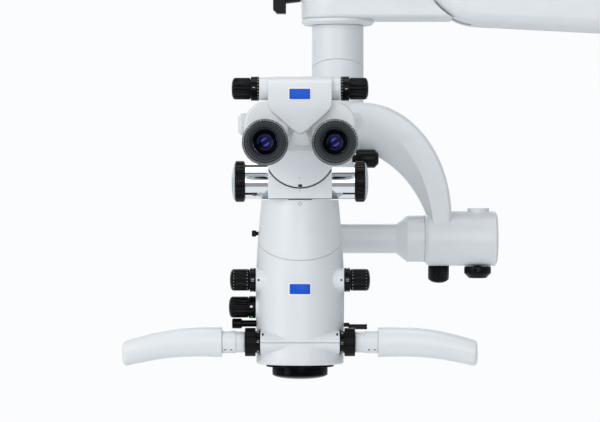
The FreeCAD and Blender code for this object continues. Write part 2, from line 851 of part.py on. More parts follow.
def make_arm_covers():
    """The two half shells of the spring arm, split along the arm's middle plane."""
    wall = size.cover_wall
    outer = hull("cover_outer", size.cover_front_radius, size.cover_rear_radius,
                 (-half_arm, as_size(0)))
    side_y = -half_arm.number
    soft = softened("cover_soft", outer, size.cover_soft_edge,
                    lambda edge: abs(edge.BoundBox.YMax - side_y) < 0.01)
    inner = hull("cover_inner", size.cover_front_radius - wall, size.cover_rear_radius - wall,
                 (wall - half_arm, wall))
    inner_side = side_y + wall.number
    room = softened("cover_room", inner, size.cover_soft_edge - wall,
                    lambda edge: abs(edge.BoundBox.YMax - inner_side) < 0.01)
    half_slot = size.tongue_width / 2 + size.cover_gap
    slots = []
    for kind, pivot_x, toward, depth, drop, rise, radius in (
            ("front", front_pivot_x, -1, size.cover_slot_front_depth, size.cover_slot_front_drop,
             size.cover_slot_front_rise, size.cover_front_radius),
            ("rear", rear_pivot_x, 1, size.cover_slot_rear_depth, size.cover_slot_rear_drop,
             size.cover_slot_rear_rise, size.cover_rear_radius)):
        near_x = pivot_x + toward * (radius - depth)
        far_x = pivot_x + toward * (radius + size.cover_gap)
        limits = (far_x, near_x) if toward < 0 else (near_x, far_x)
        up = (size.pivot_height - drop, size.pivot_height + rise)
        slots.append(block("cover_slot_" + kind, limits, (-half_slot, half_slot), up))
    shell = cut("cover_shell", soft, room, *slots)
    beam_side = size.tongue_width / 2 + size.seat_gap + size.beam_cheek
    bosses = [cylinder("cover_boss_%d" % number, size.cover_boss_radius,
                       half_arm - beam_side - wall / 2,
                       (front_pivot_x + size.arm_length * share, -beam_side, size.pivot_height),
                       TO_FRONT)
              for number, share in enumerate((0.25, 0.75), start=1)]
    near = keep(fused("arm_cover_near", shell, *bosses))
    keep(mirrored("arm_cover_far", near, y=0))


def rounded_bar(name, z, half_height, half_width):
    """A bar from pivot to pivot with rounded ends."""
    bar = block(name + "_bar", (front_pivot_x, rear_pivot_x), (-half_width, half_width),
                (z - half_height, z + half_height))
    ends = [cylinder("%s_end_%d" % (name, number), half_height, half_width * 2,
                     (x, half_width, z), TO_FRONT)
            for number, x in enumerate((front_pivot_x, rear_pivot_x), start=1)]
    return fused(name + "_blank", bar, *ends)


def end_slots(name, z, half_height, half_slot):
    """Slots at both ends of a bar that let the tongues swing."""
    reach = size.beam_slot_length
    far = half_height + size.cover_gap
    up = (z - far, z + far)
    front = block(name + "_slot_front", (front_pivot_x - reach, front_pivot_x + reach),
                  (-half_slot, half_slot), up)
    rear = block(name + "_slot_rear", (rear_pivot_x - reach, rear_pivot_x + reach),
                 (-half_slot, half_slot), up)
    return [front, rear]


def make_beam_and_link():
    """The hollow main beam and the parallel link that keeps the end block upright."""
    half_slot = size.tongue_width / 2 + size.seat_gap
    half_width = half_slot + size.beam_cheek
    beam = rounded_bar("beam", size.pivot_height, size.beam_half_height, half_width)
    inside = size.beam_half_height - size.beam_wall
    reach = size.beam_slot_length
    hollow = block("beam_hollow", (front_pivot_x - reach, rear_pivot_x + reach),
                   (-half_slot, half_slot), (size.pivot_height - inside, size.pivot_height + inside))
    slots = end_slots("beam", size.pivot_height, size.beam_half_height, half_slot)
    holes = [pin_holes("beam_front", front_pivot_x, size.running_gap, size.running_gap)[0],
             pin_holes("beam_rear", rear_pivot_x, size.running_gap, size.running_gap)[0]]
    keep(cut("main_beam", beam, hollow, *slots, *holes))
    link = rounded_bar("link", link_z, size.link_half_height, half_width)
    link_slots = end_slots("link", link_z, size.link_half_height, half_slot)
    link_holes = [pin_holes("link_front", front_pivot_x, size.running_gap, size.pivot_play)[1],
                  pin_holes("link_rear", rear_pivot_x, size.running_gap, size.running_gap)[1]]
    keep(cut("lower_link", link, *link_slots, *link_holes))
    collar = inside - size.running_gap
    end = size.spring_length
    flange = size.spring_collar_length
    keep(turned("spring_cartridge", [
        (0, 0),
        (collar, 0),
        (collar, flange),
        (size.spring_radius, flange),
        (size.spring_radius, end - flange),
        (collar, end - flange),
        (collar, end),
        (0, end),
    ], (rear_pivot_x - (size.arm_length + size.spring_length) / 2, 0, size.pivot_height), TO_RIGHT))


# Column, curved carrier arm and tilt coupling

def above_seam(name, lift):
    """Everything above the inclined joint line between the column and the carrier arm."""
    reach = size.column_radius * 2
    slope = size.column_seam_rise / size.column_radius
    level = size.column_seam_height + lift
    top = size.pivot_height - tilt_z
    return padded(name, [
        (-reach, level + slope * reach),
        (reach, level - slope * reach),
        (reach, top),
        (-reach, top),
    ], "YZ_Plane", reach * 2, (column_x, 0, tilt_z))


def make_column():
    """The column that hangs in the end block: journal, sleeve and the spigot through the hub."""
    block_bottom = size.pivot_height - size.end_block_drop
    sleeve_top = block_bottom - size.bearing_cap_height - size.seat_gap
    sleeve_bottom = tilt_z + size.column_seam_height - size.column_seam_rise * 2
    sleeve = cylinder("column_sleeve_blank", size.column_radius, sleeve_top - sleeve_bottom,
                      (column_x, 0, sleeve_bottom))
    sleeve = common("column_sleeve", sleeve, above_seam("column_seam", 0))
    journal_top = size.pivot_height + size.column_journal_top
    spigot_end = tilt_z + size.hub_bottom
    shaft = turned("column_shaft", [
        (0, spigot_end - size.column_tail_length),
        (size.column_tail_radius, spigot_end - size.column_tail_length),
        (size.column_tail_radius, spigot_end),
        (size.column_spigot_radius, spigot_end),
        (size.column_spigot_radius, sleeve_top),
        (size.column_journal_radius, sleeve_top),
        (size.column_journal_radius, journal_top),
        (size.thread_radius, journal_top),
        (size.thread_radius, journal_top + size.nut_height + size.pin_chamfer),
        (0, journal_top + size.nut_height + size.pin_chamfer),
    ], (column_x, 0, 0))
    forward = size.swing_brake_forward
    lug = block("column_lug", (column_x - size.swing_lug_start, column_x + size.swing_lug_end),
                (-forward - size.swing_lug_half_width, as_size(0)),
                (spigot_end - size.column_tail_length, spigot_end - size.seat_gap))
    solid = fused("column_solid", sleeve, shaft, lug)
    hole = cylinder("column_brake_hole", size.brake_stem_radius + size.running_gap,
                    size.column_radius,
                    (column_x, -forward, tilt_z + size.swing_brake_height), TO_RIGHT)
    keep(cut("column", solid, hole))
    hex_nut("column_nut", (column_x, 0, journal_top))


def ellipse_hit(centre, radii, angle):
    """Distance from the inner ellipse's centre to another ellipse along a ray at the angle."""
    across = math.cos(angle)
    up = math.sin(angle)
    side = (size.head_side - centre[0]).number
    rise = (size.arm_inner_height - centre[1]).number
    wide, tall = radii[0].number, radii[1].number
    a = (across / wide) ** 2 + (up / tall) ** 2
    b = 2 * (side * across / wide ** 2 + rise * up / tall ** 2)
    c = (side / wide) ** 2 + (rise / tall) ** 2 - 1
    return (math.sqrt(b * b - 4 * a * c) - b) / (2 * a)


def arm_section(angle):
    """One section of the curved arm: a flat outer band in front and an inner band that leans back."""
    outer = ellipse_hit((size.arm_outer_side, size.arm_outer_height),
                        (size.arm_outer_reach, size.arm_outer_rise), angle)
    ridge = ellipse_hit((size.arm_ridge_side, size.arm_ridge_height),
                        (size.arm_ridge_reach, size.arm_ridge_rise), angle)
    inner = ellipse_hit((size.head_side, size.arm_inner_height),
                        (size.arm_inner_reach, size.arm_inner_rise), angle)
    chamfer = size.arm_edge_chamfer.number
    deep = size.arm_half_depth.number
    shallow = size.arm_inner_half_depth.number
    front = [(outer, deep - chamfer), (outer - chamfer, deep), (ridge, deep), (inner, shallow)]
    around = [(far, -depth) for far, depth in front] + [(far, depth) for far, depth in front[::-1]]
    centre_x = column_x.number
    centre_z = (tilt_z + size.arm_inner_height).number
    corners = [V(centre_x + far * math.cos(angle), depth, centre_z + far * math.sin(angle))
               for far, depth in around]
    return Part.makePolygon(corners + corners[:1])


def make_carrier_arm():
    """The hub under the column, the curved arm and the coupling barrel, cast in one piece."""
    start = size.arm_start_angle.number
    end = size.arm_end_angle.number
    count = 8
    angles = [math.radians(start + (end - start) * step / (count - 1)) for step in range(count)]
    sweep = doc.addObject("Part::Feature", "carrier_sweep")
    sweep.Shape = Part.makeLoft([arm_section(angle) for angle in angles], True, False)
    hub_z = tilt_z + size.hub_bottom
    hub_blank = cylinder("hub_blank", size.column_radius, size.column_seam_height - size.hub_bottom
                         + size.column_seam_rise * 2, (column_x, 0, hub_z))
    hub = cut("hub", hub_blank, above_seam("hub_seam", -size.panel_gap))
    barrel = turned("coupling_barrel", [
        (0, 0),
        (size.coupling_radius - size.coupling_chamfer, 0),
        (size.coupling_radius, size.coupling_chamfer),
        (size.coupling_radius, size.coupling_length),
        (0, size.coupling_length),
    ], (head_x + size.coupling_start, 0, tilt_z), TO_RIGHT)
    casting = fused("carrier_casting", hub, sweep, barrel)
    hub_bore = cylinder("hub_bore", size.column_spigot_radius + size.running_gap,
                        size.column_seam_height, (column_x, 0, hub_z))
    bush_bore = cylinder("bush_bore", size.bush_radius,
                         size.bush_end - size.coupling_start + size.seat_gap,
                         (head_x + size.coupling_start, 0, tilt_z), TO_RIGHT)
    recess = cylinder("coupling_recess", size.coupling_recess_radius, size.coupling_length,
                      (head_x + size.bush_end, 0, tilt_z), TO_RIGHT)
    stem = size.brake_stem_radius + size.running_gap
    lean = FreeCAD.Rotation(V(1, 0, 0), 180 + size.tilt_brake_lean.number)
    brake_hole = cylinder("tilt_brake_hole", stem, size.coupling_radius * 2,
                          (head_x + size.tilt_brake_side, 0, tilt_z), lean)
    clamp_hole = cylinder("clamp_hole", stem, size.coupling_radius * 2,
                          (head_x + size.clamp_side, 0, tilt_z), DOWNWARD)
    keep(cut("carrier_arm", casting, hub_bore, bush_bore, recess, brake_hole, clamp_hole))


def stemmed_knob(name, at, turn, start, radius, length, tip, dome):
    """A black clamp knob on a steel stem, with its origin on the axis that it clamps."""
    low = start + size.seat_gap
    high = low + length
    return keep(turned(name, [
        (0, tip),
        (size.brake_stem_radius, tip),
        (size.brake_stem_radius, low),
        (radius - size.brake_base_chamfer, low),
        (radius, low + size.brake_base_chamfer),
        (radius, high - dome),
        (radius - dome, high),
        (0, high),
    ], at, turn))


def make_coupling_parts():
    """The bush, the caps and the knobs of the tilt coupling, and the brake on the column's tail."""
    keep(turned("tilt_bush", [
        (size.axle_journal_radius + size.running_gap, size.seat_gap),
        (size.bush_radius, size.seat_gap),
        (size.bush_radius, size.bush_end - size.coupling_start),
        (size.axle_journal_radius + size.running_gap, size.bush_end - size.coupling_start),
    ], (head_x + size.coupling_start, 0, tilt_z), TO_RIGHT))
    end_cap = turned("end_cap", [
        (0, 0),
        (size.coupling_radius, 0),
        (size.coupling_radius, size.coupling_cap_length - size.coupling_cap_crown),
        (size.coupling_radius - size.coupling_cap_crown * 2, size.coupling_cap_length),
        (0, size.coupling_cap_length),
    ], (head_x + size.coupling_start + size.coupling_length, 0, tilt_z), TO_RIGHT)
    disc = cylinder("top_cap_disc", size.top_cap_radius,
                    size.top_cap_rise + size.coupling_radius / 2,
                    (head_x + size.top_cap_side, 0, tilt_z + size.coupling_radius / 2))
    saddle = cylinder("top_cap_saddle", size.coupling_radius, size.coupling_length,
                      (head_x + size.coupling_start, 0, tilt_z), TO_RIGHT)
    keep(fused("coupling_caps", end_cap, cut("top_cap", disc, saddle)))
    lean = FreeCAD.Rotation(V(1, 0, 0), 180 + size.tilt_brake_lean.number)
    tip = size.bush_radius + size.seat_gap
    stemmed_knob("tilt_brake_knob", (head_x + size.tilt_brake_side, 0, tilt_z), lean,
                 size.coupling_radius, size.tilt_brake_radius, size.tilt_brake_length, tip,
                 size.tilt_brake_dome)
    stemmed_knob("clamp_knob", (head_x + size.clamp_side, 0, tilt_z), DOWNWARD,
                 size.coupling_radius, size.clamp_radius, size.clamp_length, tip, size.clamp_dome)
    stemmed_knob("swing_brake_knob",
                 (column_x, -size.swing_brake_forward, tilt_z + size.swing_brake_height), TO_RIGHT,
                 size.swing_brake_start, size.swing_brake_radius, size.swing_brake_length,
                 size.seat_gap, size.swing_brake_dome)


def make_tilt_axle():
    """The tube, flare and collar that carry the head in the coupling."""
    journal_start = size.coupling_start - size.seat_gap
    keep(turned("tilt_axle", [
        (0, -size.axle_inner_end),
        (size.axle_radius, -size.axle_inner_end),
        (size.axle_radius, size.axle_flare_start),
        (size.axle_collar_radius, size.axle_flare_end),
        (size.axle_collar_radius, journal_start),
        (size.axle_journal_radius, journal_start),
        (size.axle_journal_radius, size.bush_end),
        (0, size.bush_end),
    ], (head_x, 0, tilt_z), TO_RIGHT))


# Optical head

def head_blank():
    """The outer form of the head, an ellipse in plan that narrows towards the top."""
    sections = (
        (size.head_bottom, size.head_half_width, size.head_half_depth),
        (size.base_seam, size.head_half_width, size.head_half_depth),
        (size.head_shoulder, size.head_half_width, size.head_half_depth),
        (size.head_mid, size.head_mid_half_width, size.head_mid_half_depth),
        (size.head_top, size.head_top_half_width, size.head_top_half_depth),
    )
    rings = []
    for number, (height, half_width, half_depth) in enumerate(sections, start=1):
        ring = doc.addObject("Part::Ellipse", "head_ring_%d" % number)
        bind(ring, "MajorRadius", half_depth)
        bind(ring, "MinorRadius", half_width)
        rings.append(place(ring, at_head(height=height), FreeCAD.Rotation(V(0, 0, 1), 90)))
    blank = doc.addObject("Part::Loft", "head_blank")
    blank.Sections = rings
    blank.Solid = True
    bottom = (tilt_z + size.head_bottom).number
    return softened("head_form", blank, size.head_bottom_edge,
                    lambda edge: abs(edge.BoundBox.ZMax - bottom) < 0.01)


def over_cover_seam(name, drop):
    """Everything above the inclined joint line under the upper cover."""
    reach = size.head_half_depth * 2
    slope = size.cover_seam_rise / size.head_half_depth
    level = size.head_mid - drop
    return padded(name, [
        (-reach, level - slope * reach),
        (reach, level + slope * reach),
        (reach, size.head_top + reach),
        (-reach, size.head_top + reach),
    ], "YZ_Plane", reach * 2, at_head())


def side_cylinder(name, radius, start, end, forward, height, side):
    """A cylinder along X on one side of the head, between two distances from its axis."""
    return cylinder(name, radius, end - start, at_head(start * side, forward, height), outward(side))


def head_slab(name, low, high):
    """A slab across the head between two heights."""
    reach = size.head_half_depth + size.control_forward
    return block(name, (head_x - reach, head_x + reach), (head_y - reach, head_y + reach),
                 (tilt_z + low, tilt_z + high))


def focus_holes(name, side):
    """Room for one focus ring outside the bar's end, and the seat of one handle neck in the bar."""
    room = side_cylinder(name + "_focus_face", size.focus_boss_radius + size.seat_gap,
                         size.focus_boss_end, size.head_half_depth, size.control_forward,
                         size.base_seam, side)
    seat = side_cylinder(name + "_neck_seat", size.neck_tube_radius + size.running_gap,
                         size.focus_boss_start + size.seat_gap, size.focus_boss_end,
                         size.control_forward, size.base_seam, side)
    return [room, seat]


def focus_bar(name, low, high):
    """The housing's cross bar between the focus rings, elliptical in section, between two heights."""
    ring = doc.addObject("Part::Ellipse", name + "_ring")
    bind(ring, "MajorRadius", size.focus_bar_half_depth)
    bind(ring, "MinorRadius", size.focus_boss_radius)
    turn = TO_RIGHT.multiply(FreeCAD.Rotation(V(0, 0, 1), 90))
    place(ring, at_head(-size.focus_boss_end, size.focus_bar_forward, size.base_seam), turn)
    bar = doc.addObject("Part::Extrusion", name + "_bar")
    bar.Base = ring
    bar.DirMode = "Custom"
    bar.Dir = V(1, 0, 0)
    bar.Solid = True
    bind(bar, "LengthFwd", size.focus_boss_end * 2)
    return common(name, bar, head_slab(name + "_slab", low, high))


def make_head_shells():
    """Main housing, upper cover and base housing, with their bosses, bores and seams."""
    form = head_blank()
    cavity_ring = doc.addObject("Part::Ellipse", "cavity_ring")
    bind(cavity_ring, "MajorRadius", size.cavity_half_depth)
    bind(cavity_ring, "MinorRadius", size.cavity_half_width)
    place(cavity_ring, at_head(height=size.cavity_floor), FreeCAD.Rotation(V(0, 0, 1), 90))
    cavity = doc.addObject("Part::Extrusion", "cavity")
    cavity.Base = cavity_ring
    cavity.DirMode = "Custom"
    cavity.Dir = V(0, 0, 1)
    cavity.Solid = True
    bind(cavity, "LengthFwd", size.cavity_roof - size.cavity_floor)

    forward = size.control_forward
    boss_start = size.cavity_half_width / 2
    bosses = []
    tools = [cavity]
    for kind, side in SIDES:
        bosses.append(side_cylinder("magnification_boss_" + kind, size.magnification_boss_radius,
                                    boss_start, size.magnification_boss_end, forward,
                                    size.magnification_height, side))
        tools += focus_holes("main_" + kind, side)
    bosses.append(focus_bar("focus_bar_upper", size.base_seam + size.panel_gap, size.head_top))
    bosses.append(side_cylinder("filter_boss", size.filter_boss_radius, boss_start,
                                size.filter_boss_end, size.side_control_forward,
                                size.filter_height, -1))
    gap = size.running_gap
    tools.append(side_cylinder("magnification_bore", size.control_shaft_radius + gap,
                               -size.head_half_depth, size.head_half_depth, forward,
                               size.magnification_height, 1))
    tools.append(side_cylinder("drum_bore", size.drum_trunnion_radius + gap,
                               -size.drum_trunnion_end - size.seat_gap,
                               size.drum_trunnion_end + size.seat_gap, size.drum_forward,
                               size.magnification_height, 1))
    tools.append(side_cylinder("filter_bore", size.filter_shaft_radius + gap,
                               size.filter_shaft_start - size.seat_gap,
                               size.filter_boss_end + size.seat_gap, size.side_control_forward,
                               size.filter_height, -1))
    tools.append(side_cylinder("aperture_bore", size.aperture_stem_radius + gap,
                               size.aperture_stem_start - size.seat_gap, size.aperture_knob_start,
                               size.side_control_forward, size.aperture_height, -1))
    slot_low = size.selector_height - size.selector_bar_drop - size.seat_gap
    tools.append(block("selector_slot",
                       (head_x + size.selector_pivot_side - size.selector_slot_half_width,
                        head_x + size.head_half_depth),
                       (head_y + size.selector_back - size.selector_slot_half_width,
                        head_y + size.selector_back + size.selector_slot_half_width),
                       (tilt_z + slot_low,
                        tilt_z + size.selector_height + size.selector_stem_half_height
                        + size.seat_gap)))
    tools.append(cylinder("selector_pin_bore", size.selector_pin_radius + gap,
                          (size.selector_pin_half + size.seat_gap) * 2,
                          at_head(size.selector_pivot_side, -size.selector_back,
                                  size.selector_height - size.selector_pin_half - size.seat_gap)))
    lower = head_slab("main_slab", size.base_seam + size.panel_gap, size.head_top)
    main = cut("main_blank", common("main_form", form, lower), over_cover_seam("main_seam", 0))
    keep(cut("main_housing", fused("main_bossed", main, *bosses), *tools))

    cover = common("upper_form", form, over_cover_seam("upper_seam", -size.panel_gap))
    thumb = side_cylinder("thumb_bore", size.thumb_stem_radius + gap, size.thumb_stem_start,
                          size.thumb_head_start, 0, size.thumb_height, -1)
    keep(cut("upper_cover", cover, cavity, thumb))

    base = common("base_form", form, head_slab("base_slab", size.head_bottom, size.base_seam))
    bar = focus_bar("focus_bar_lower", size.head_bottom, size.base_seam)
    holes = [cylinder("objective_bore", size.objective_bore + gap,
                      size.focus_boss_radius - size.head_bottom,
                      at_head(height=size.head_bottom))]
    for kind, side in SIDES:
        holes += focus_holes("base_" + kind, side)
    keep(cut("base_housing", fused("base_bossed", base, bar), *holes))


def make_bracket():
    """The bracket behind the head that is clamped on the tilt axle."""
    depth = size.bracket_half_depth
    blank = block("bracket_blank",
                  (head_x - size.bracket_half_width, head_x + size.bracket_half_width),
                  (-depth - size.head_half_depth / 2, depth),
                  (tilt_z - size.bracket_half_height, tilt_z + size.bracket_half_height))
    back = depth.number
    soft = softened("bracket_soft", blank, size.bracket_soft_edge,
                    lambda edge: abs(edge.BoundBox.YMin - back) < 0.01)
    form = doc.getObject("head_form")
    bore = cylinder("bracket_bore", size.axle_radius, size.bracket_half_width * 2,
                    (head_x - size.axle_inner_end, 0, tilt_z), TO_RIGHT)
    keep(cut("rear_bracket", soft, form, bore))


def tilted_plane(name, low, high):
    """A slab across the hood between two planes parallel to its oblique mouth."""
    reach = size.hood_radius * 2
    slope = size.hood_slope_rise / size.hood_radius
    return padded(name, [
        (-reach, low - slope * reach),
        (reach, low + slope * reach),
        (reach, high + slope * reach),
        (-reach, high - slope * reach),
    ], "YZ_Plane", reach * 2, at_head())


def make_objective():
    """The black objective hood with its oblique mouth, its cover glass and the lens cell."""
    flange_low = size.head_bottom - size.objective_flange_height
    mouth = flange_low - (size.hood_drop - size.hood_slope_rise)
    longest = mouth - size.hood_slope_rise * 2
    inner = size.hood_radius - size.hood_wall
    hood = turned("hood_blank", [
        (inner, size.head_bottom),
        (size.objective_flange_radius, size.head_bottom),
        (size.objective_flange_radius, flange_low),
        (size.hood_radius, flange_low),
        (size.hood_radius, longest),
        (inner, longest),
    ], at_head())
    below = tilted_plane("hood_mouth", longest - size.hood_radius, mouth)
    keep(cut("objective_hood", hood, below))
    glass_low = mouth + size.glass_inset
    disc = cylinder("glass_blank", inner - size.running_gap, size.hood_drop + size.hood_radius,
                    at_head(height=longest))
    keep(common("protective_glass", disc,
                tilted_plane("glass_slab", glass_low, glass_low + size.glass_height)))
    cell_low = size.head_bottom + size.lens_cell_inset - size.lens_cell_height / 2
    keep(turned("front_lens_cell", [
        (0, cell_low),
        (size.lens_half_aperture, cell_low),
        (size.objective_bore, cell_low + size.lens_bulge),
        (size.objective_bore, cell_low + size.lens_cell_height),
        (size.lens_half_aperture, cell_low + size.lens_cell_height),
        (size.lens_half_aperture / 2, cell_low + size.lens_cell_height - size.lens_bulge),
        (0, cell_low + size.lens_cell_height - size.lens_bulge),
    ], at_head()))


# Controls on the head

def fluted_knob(name, collar, radius, length, at, turn, count=None):
    """A fluted knob: collar corners below its origin, the gripped part above it."""
    crown = size.crown_height
    points = list(collar) + [
        (radius, 0),
        (radius, length - crown),
        (radius - crown / 2, length - crown / 3),
        (radius - crown * 2, length),
        (0, length),
    ]
    body = turned(name, points, at, turn)
    return flute(body, name, radius + size.flute_radius / 2, size.flute_radius,
                 count or size.flute_count)


def dial(radius, length):
    """The collar of a knob: a plain dial ring of the given length below the grip."""
    return [(0, -length), (radius, -length), (radius, 0)]


def make_magnification():
    """Both magnification knobs on one shaft with a pinion, and the lens drum that it turns."""
    start = size.magnification_boss_end + size.seat_gap
    knobs = []
    for kind, side in SIDES:
        knobs.append(fluted_knob(
            "magnification_grip_" + kind,
            dial(size.magnification_dial_radius, size.magnification_dial_end - start),
            size.magnification_knob_radius, size.magnification_knob_end - size.magnification_dial_end,
            at_head(size.magnification_dial_end * side, size.control_forward,
                    size.magnification_height), outward(side)))
    shaft = side_cylinder("magnification_shaft", size.control_shaft_radius,
                          -size.magnification_dial_end, size.magnification_dial_end,
                          size.control_forward, size.magnification_height, 1)
    pinion = side_cylinder("magnification_pinion", size.pinion_radius, size.gear_start,
                           size.gear_start + size.gear_width, size.control_forward,
                           size.magnification_height, 1)
    keep(fused("magnification_knobs", *knobs, shaft, pinion))
    half = size.drum_half_length
    gear_end = size.gear_start + size.gear_width
    drum = turned("drum_blank", [
        (0, -size.drum_trunnion_end),
        (size.drum_trunnion_radius, -size.drum_trunnion_end),
        (size.drum_trunnion_radius, -half),
        (size.drum_radius, -half),
        (size.drum_radius, size.gear_start),
        (size.drum_gear_radius, size.gear_start),
        (size.drum_gear_radius, gear_end),
        (size.drum_radius, gear_end),
        (size.drum_radius, half),
        (size.drum_trunnion_radius, half),
        (size.drum_trunnion_radius, size.drum_trunnion_end),
        (0, size.drum_trunnion_end),
    ], at_head(0, size.drum_forward, size.magnification_height), TO_RIGHT)
    windows = [cylinder("drum_window_" + kind, size.drum_window_radius, size.drum_radius * 2,
                        at_head(size.drum_window_side * side, size.drum_forward,
                                size.magnification_height - size.drum_radius))
               for kind, side in SIDES]
    keep(cut("magnification_drum", drum, *windows))


def make_side_controls():
    """The filter knob and aperture rod on the left, the selector lever on the right."""
    start = size.filter_boss_end + size.seat_gap
    inner = size.filter_dial_end - start
    deep = size.filter_dial_end - size.filter_shaft_start
    collar = [
        (0, -deep),
        (size.filter_shaft_radius, -deep),
        (size.filter_shaft_radius, -inner),
        (size.filter_dial_radius, -inner),
        (size.filter_dial_radius, 0),
    ]
    keep(fluted_knob("filter_knob", collar, size.filter_knob_radius,
                     size.filter_knob_end - size.filter_dial_end,
                     at_head(-size.filter_dial_end, size.side_control_forward,
                             size.filter_height), TO_LEFT))
    keep(turned("aperture_knob", [
        (0, size.aperture_stem_start),
        (size.aperture_stem_radius, size.aperture_stem_start),
        (size.aperture_stem_radius, size.aperture_knob_start),
        (size.aperture_knob_radius, size.aperture_knob_start + size.aperture_flare),
        (size.aperture_knob_radius, size.aperture_knob_end - size.aperture_edge),
        (size.aperture_knob_radius - size.aperture_edge, size.aperture_knob_end),
        (0, size.aperture_knob_end),
    ], at_head(0, size.side_control_forward, size.aperture_height), TO_LEFT))
    keep(turned("side_thumb_screw", [
        (0, size.thumb_stem_start + size.seat_gap),
        (size.thumb_stem_radius, size.thumb_stem_start + size.seat_gap),
        (size.thumb_stem_radius, size.thumb_head_start),
        (size.thumb_head_radius, size.thumb_head_start),
        (size.thumb_head_radius, size.thumb_head_end - size.thumb_edge),
        (size.thumb_head_radius - size.thumb_edge, size.thumb_head_end),
        (0, size.thumb_head_end),
    ], at_head(0, 0, size.thumb_height), TO_LEFT))
    y = head_y + size.selector_back
    z = tilt_z + size.selector_height
    half = size.selector_stem_half_width
    stem = block("selector_stem",
                 (head_x + size.selector_pivot_side, head_x + size.selector_stem_end),
                 (y - half, y + half),
                 (z - size.selector_stem_half_height, z + size.selector_stem_half_height))
    wide = size.selector_bar_half_width
    bar_low = z - size.selector_bar_drop
    bar = block("selector_bar",
                (head_x + size.selector_stem_end - size.selector_lap, head_x + size.selector_bar_end),
                (y - wide, y + wide), (bar_low, bar_low + size.selector_bar_height))
    at_low = at_head(size.selector_pivot_side, -size.selector_back,
                     size.selector_height - size.selector_pin_half)
    pin = cylinder("selector_pin", size.selector_pin_radius, size.selector_pin_half * 2, at_low)
    eye_low = at_head(size.selector_pivot_side, -size.selector_back,
                      size.selector_height - size.selector_stem_half_height)
    eye = cylinder("selector_eye", half, size.selector_stem_half_height * 2, eye_low)
    keep(fused("selector_lever", stem, bar, pin, eye))


def make_grip(kind, side):
    """One drooping hand grip with its bore for the neck's spigot."""
    sections = (
        (size.socket_end + size.seat_gap, as_size(0), size.grip_half_height_1),
        (size.grip_reach_2, size.grip_rise_2, size.grip_half_height_2),
        (size.grip_reach_3, size.grip_rise_3, size.grip_half_height_3),
        (size.grip_reach_4, size.grip_rise_4, size.grip_half_height_4),
        (size.grip_reach_5, size.grip_rise_5, size.grip_half_height_5),
    )
    rings = []
    for number, (reach, rise, half_height) in enumerate(sections, start=1):
        ring = doc.addObject("Part::Ellipse", "grip_%s_ring_%d" % (kind, number))
        bind(ring, "MajorRadius", half_height)
        bind(ring, "MinorRadius", size.grip_half_depth)
        at = at_head(reach * side, size.control_forward, size.base_seam + rise)
        rings.append(place(ring, at, TO_RIGHT))
    blank = doc.addObject("Part::Loft", "grip_%s_blank" % kind)
    blank.Sections = rings
    blank.Solid = True
    tip = (head_x + size.grip_reach_5 * side).number
    soft = softened("grip_%s_soft" % kind, blank, size.grip_end_soften, lambda edge: (
        edge.BoundBox.XLength < 0.01 and abs(edge.BoundBox.XMin - tip) < 0.01))
    bore = side_cylinder("grip_%s_bore" % kind, size.spigot_radius + size.running_gap,
                         size.socket_end, size.spigot_end + size.seat_gap, size.control_forward,
                         size.base_seam, side)
    keep(cut("handle_grip_" + kind, soft, bore))


def make_focus_and_handles():
    """The focus rings, the fixed necks that pass through them, and the two hand grips."""
    rings = []
    necks = []
    for kind, side in SIDES:
        bore = size.neck_tube_radius + size.running_gap
        start = size.focus_boss_end + size.seat_gap - size.focus_ring_start
        ring = turned("focus_ring_" + kind, [
            (bore, start),
            (size.focus_dial_radius, start),
            (size.focus_dial_radius, 0),
            (size.focus_ring_radius, 0),
            (size.focus_ring_radius, size.focus_ring_end - size.focus_ring_start),
            (bore, size.focus_ring_end - size.focus_ring_start),
        ], at_head(size.focus_ring_start * side, size.control_forward, size.base_seam),
            outward(side))
        rings.append(flute(ring, "focus_ring_" + kind, size.focus_ring_radius
                           + size.flute_radius / 2, size.flute_radius, size.flute_count * 1.5))
        ring_end = size.focus_ring_end + size.seat_gap
        necks.append(turned("handle_neck_" + kind, [
            (0, size.focus_boss_start + size.seat_gap),
            (size.neck_tube_radius, size.focus_boss_start + size.seat_gap),
            (size.neck_tube_radius, ring_end),
            (size.neck_radius, ring_end),
            (size.neck_radius, size.neck_end),
            (size.socket_radius, size.neck_end),
            (size.socket_radius, size.socket_end),
            (size.spigot_radius, size.socket_end),
            (size.spigot_radius, size.spigot_end),
            (0, size.spigot_end),
        ], at_head(0, size.control_forward, size.base_seam), outward(side)))
        make_grip(kind, side)
    keep(fused("focus_rings", *rings))
    keep(fused("handle_necks", *necks))


# Cradle and pendulum

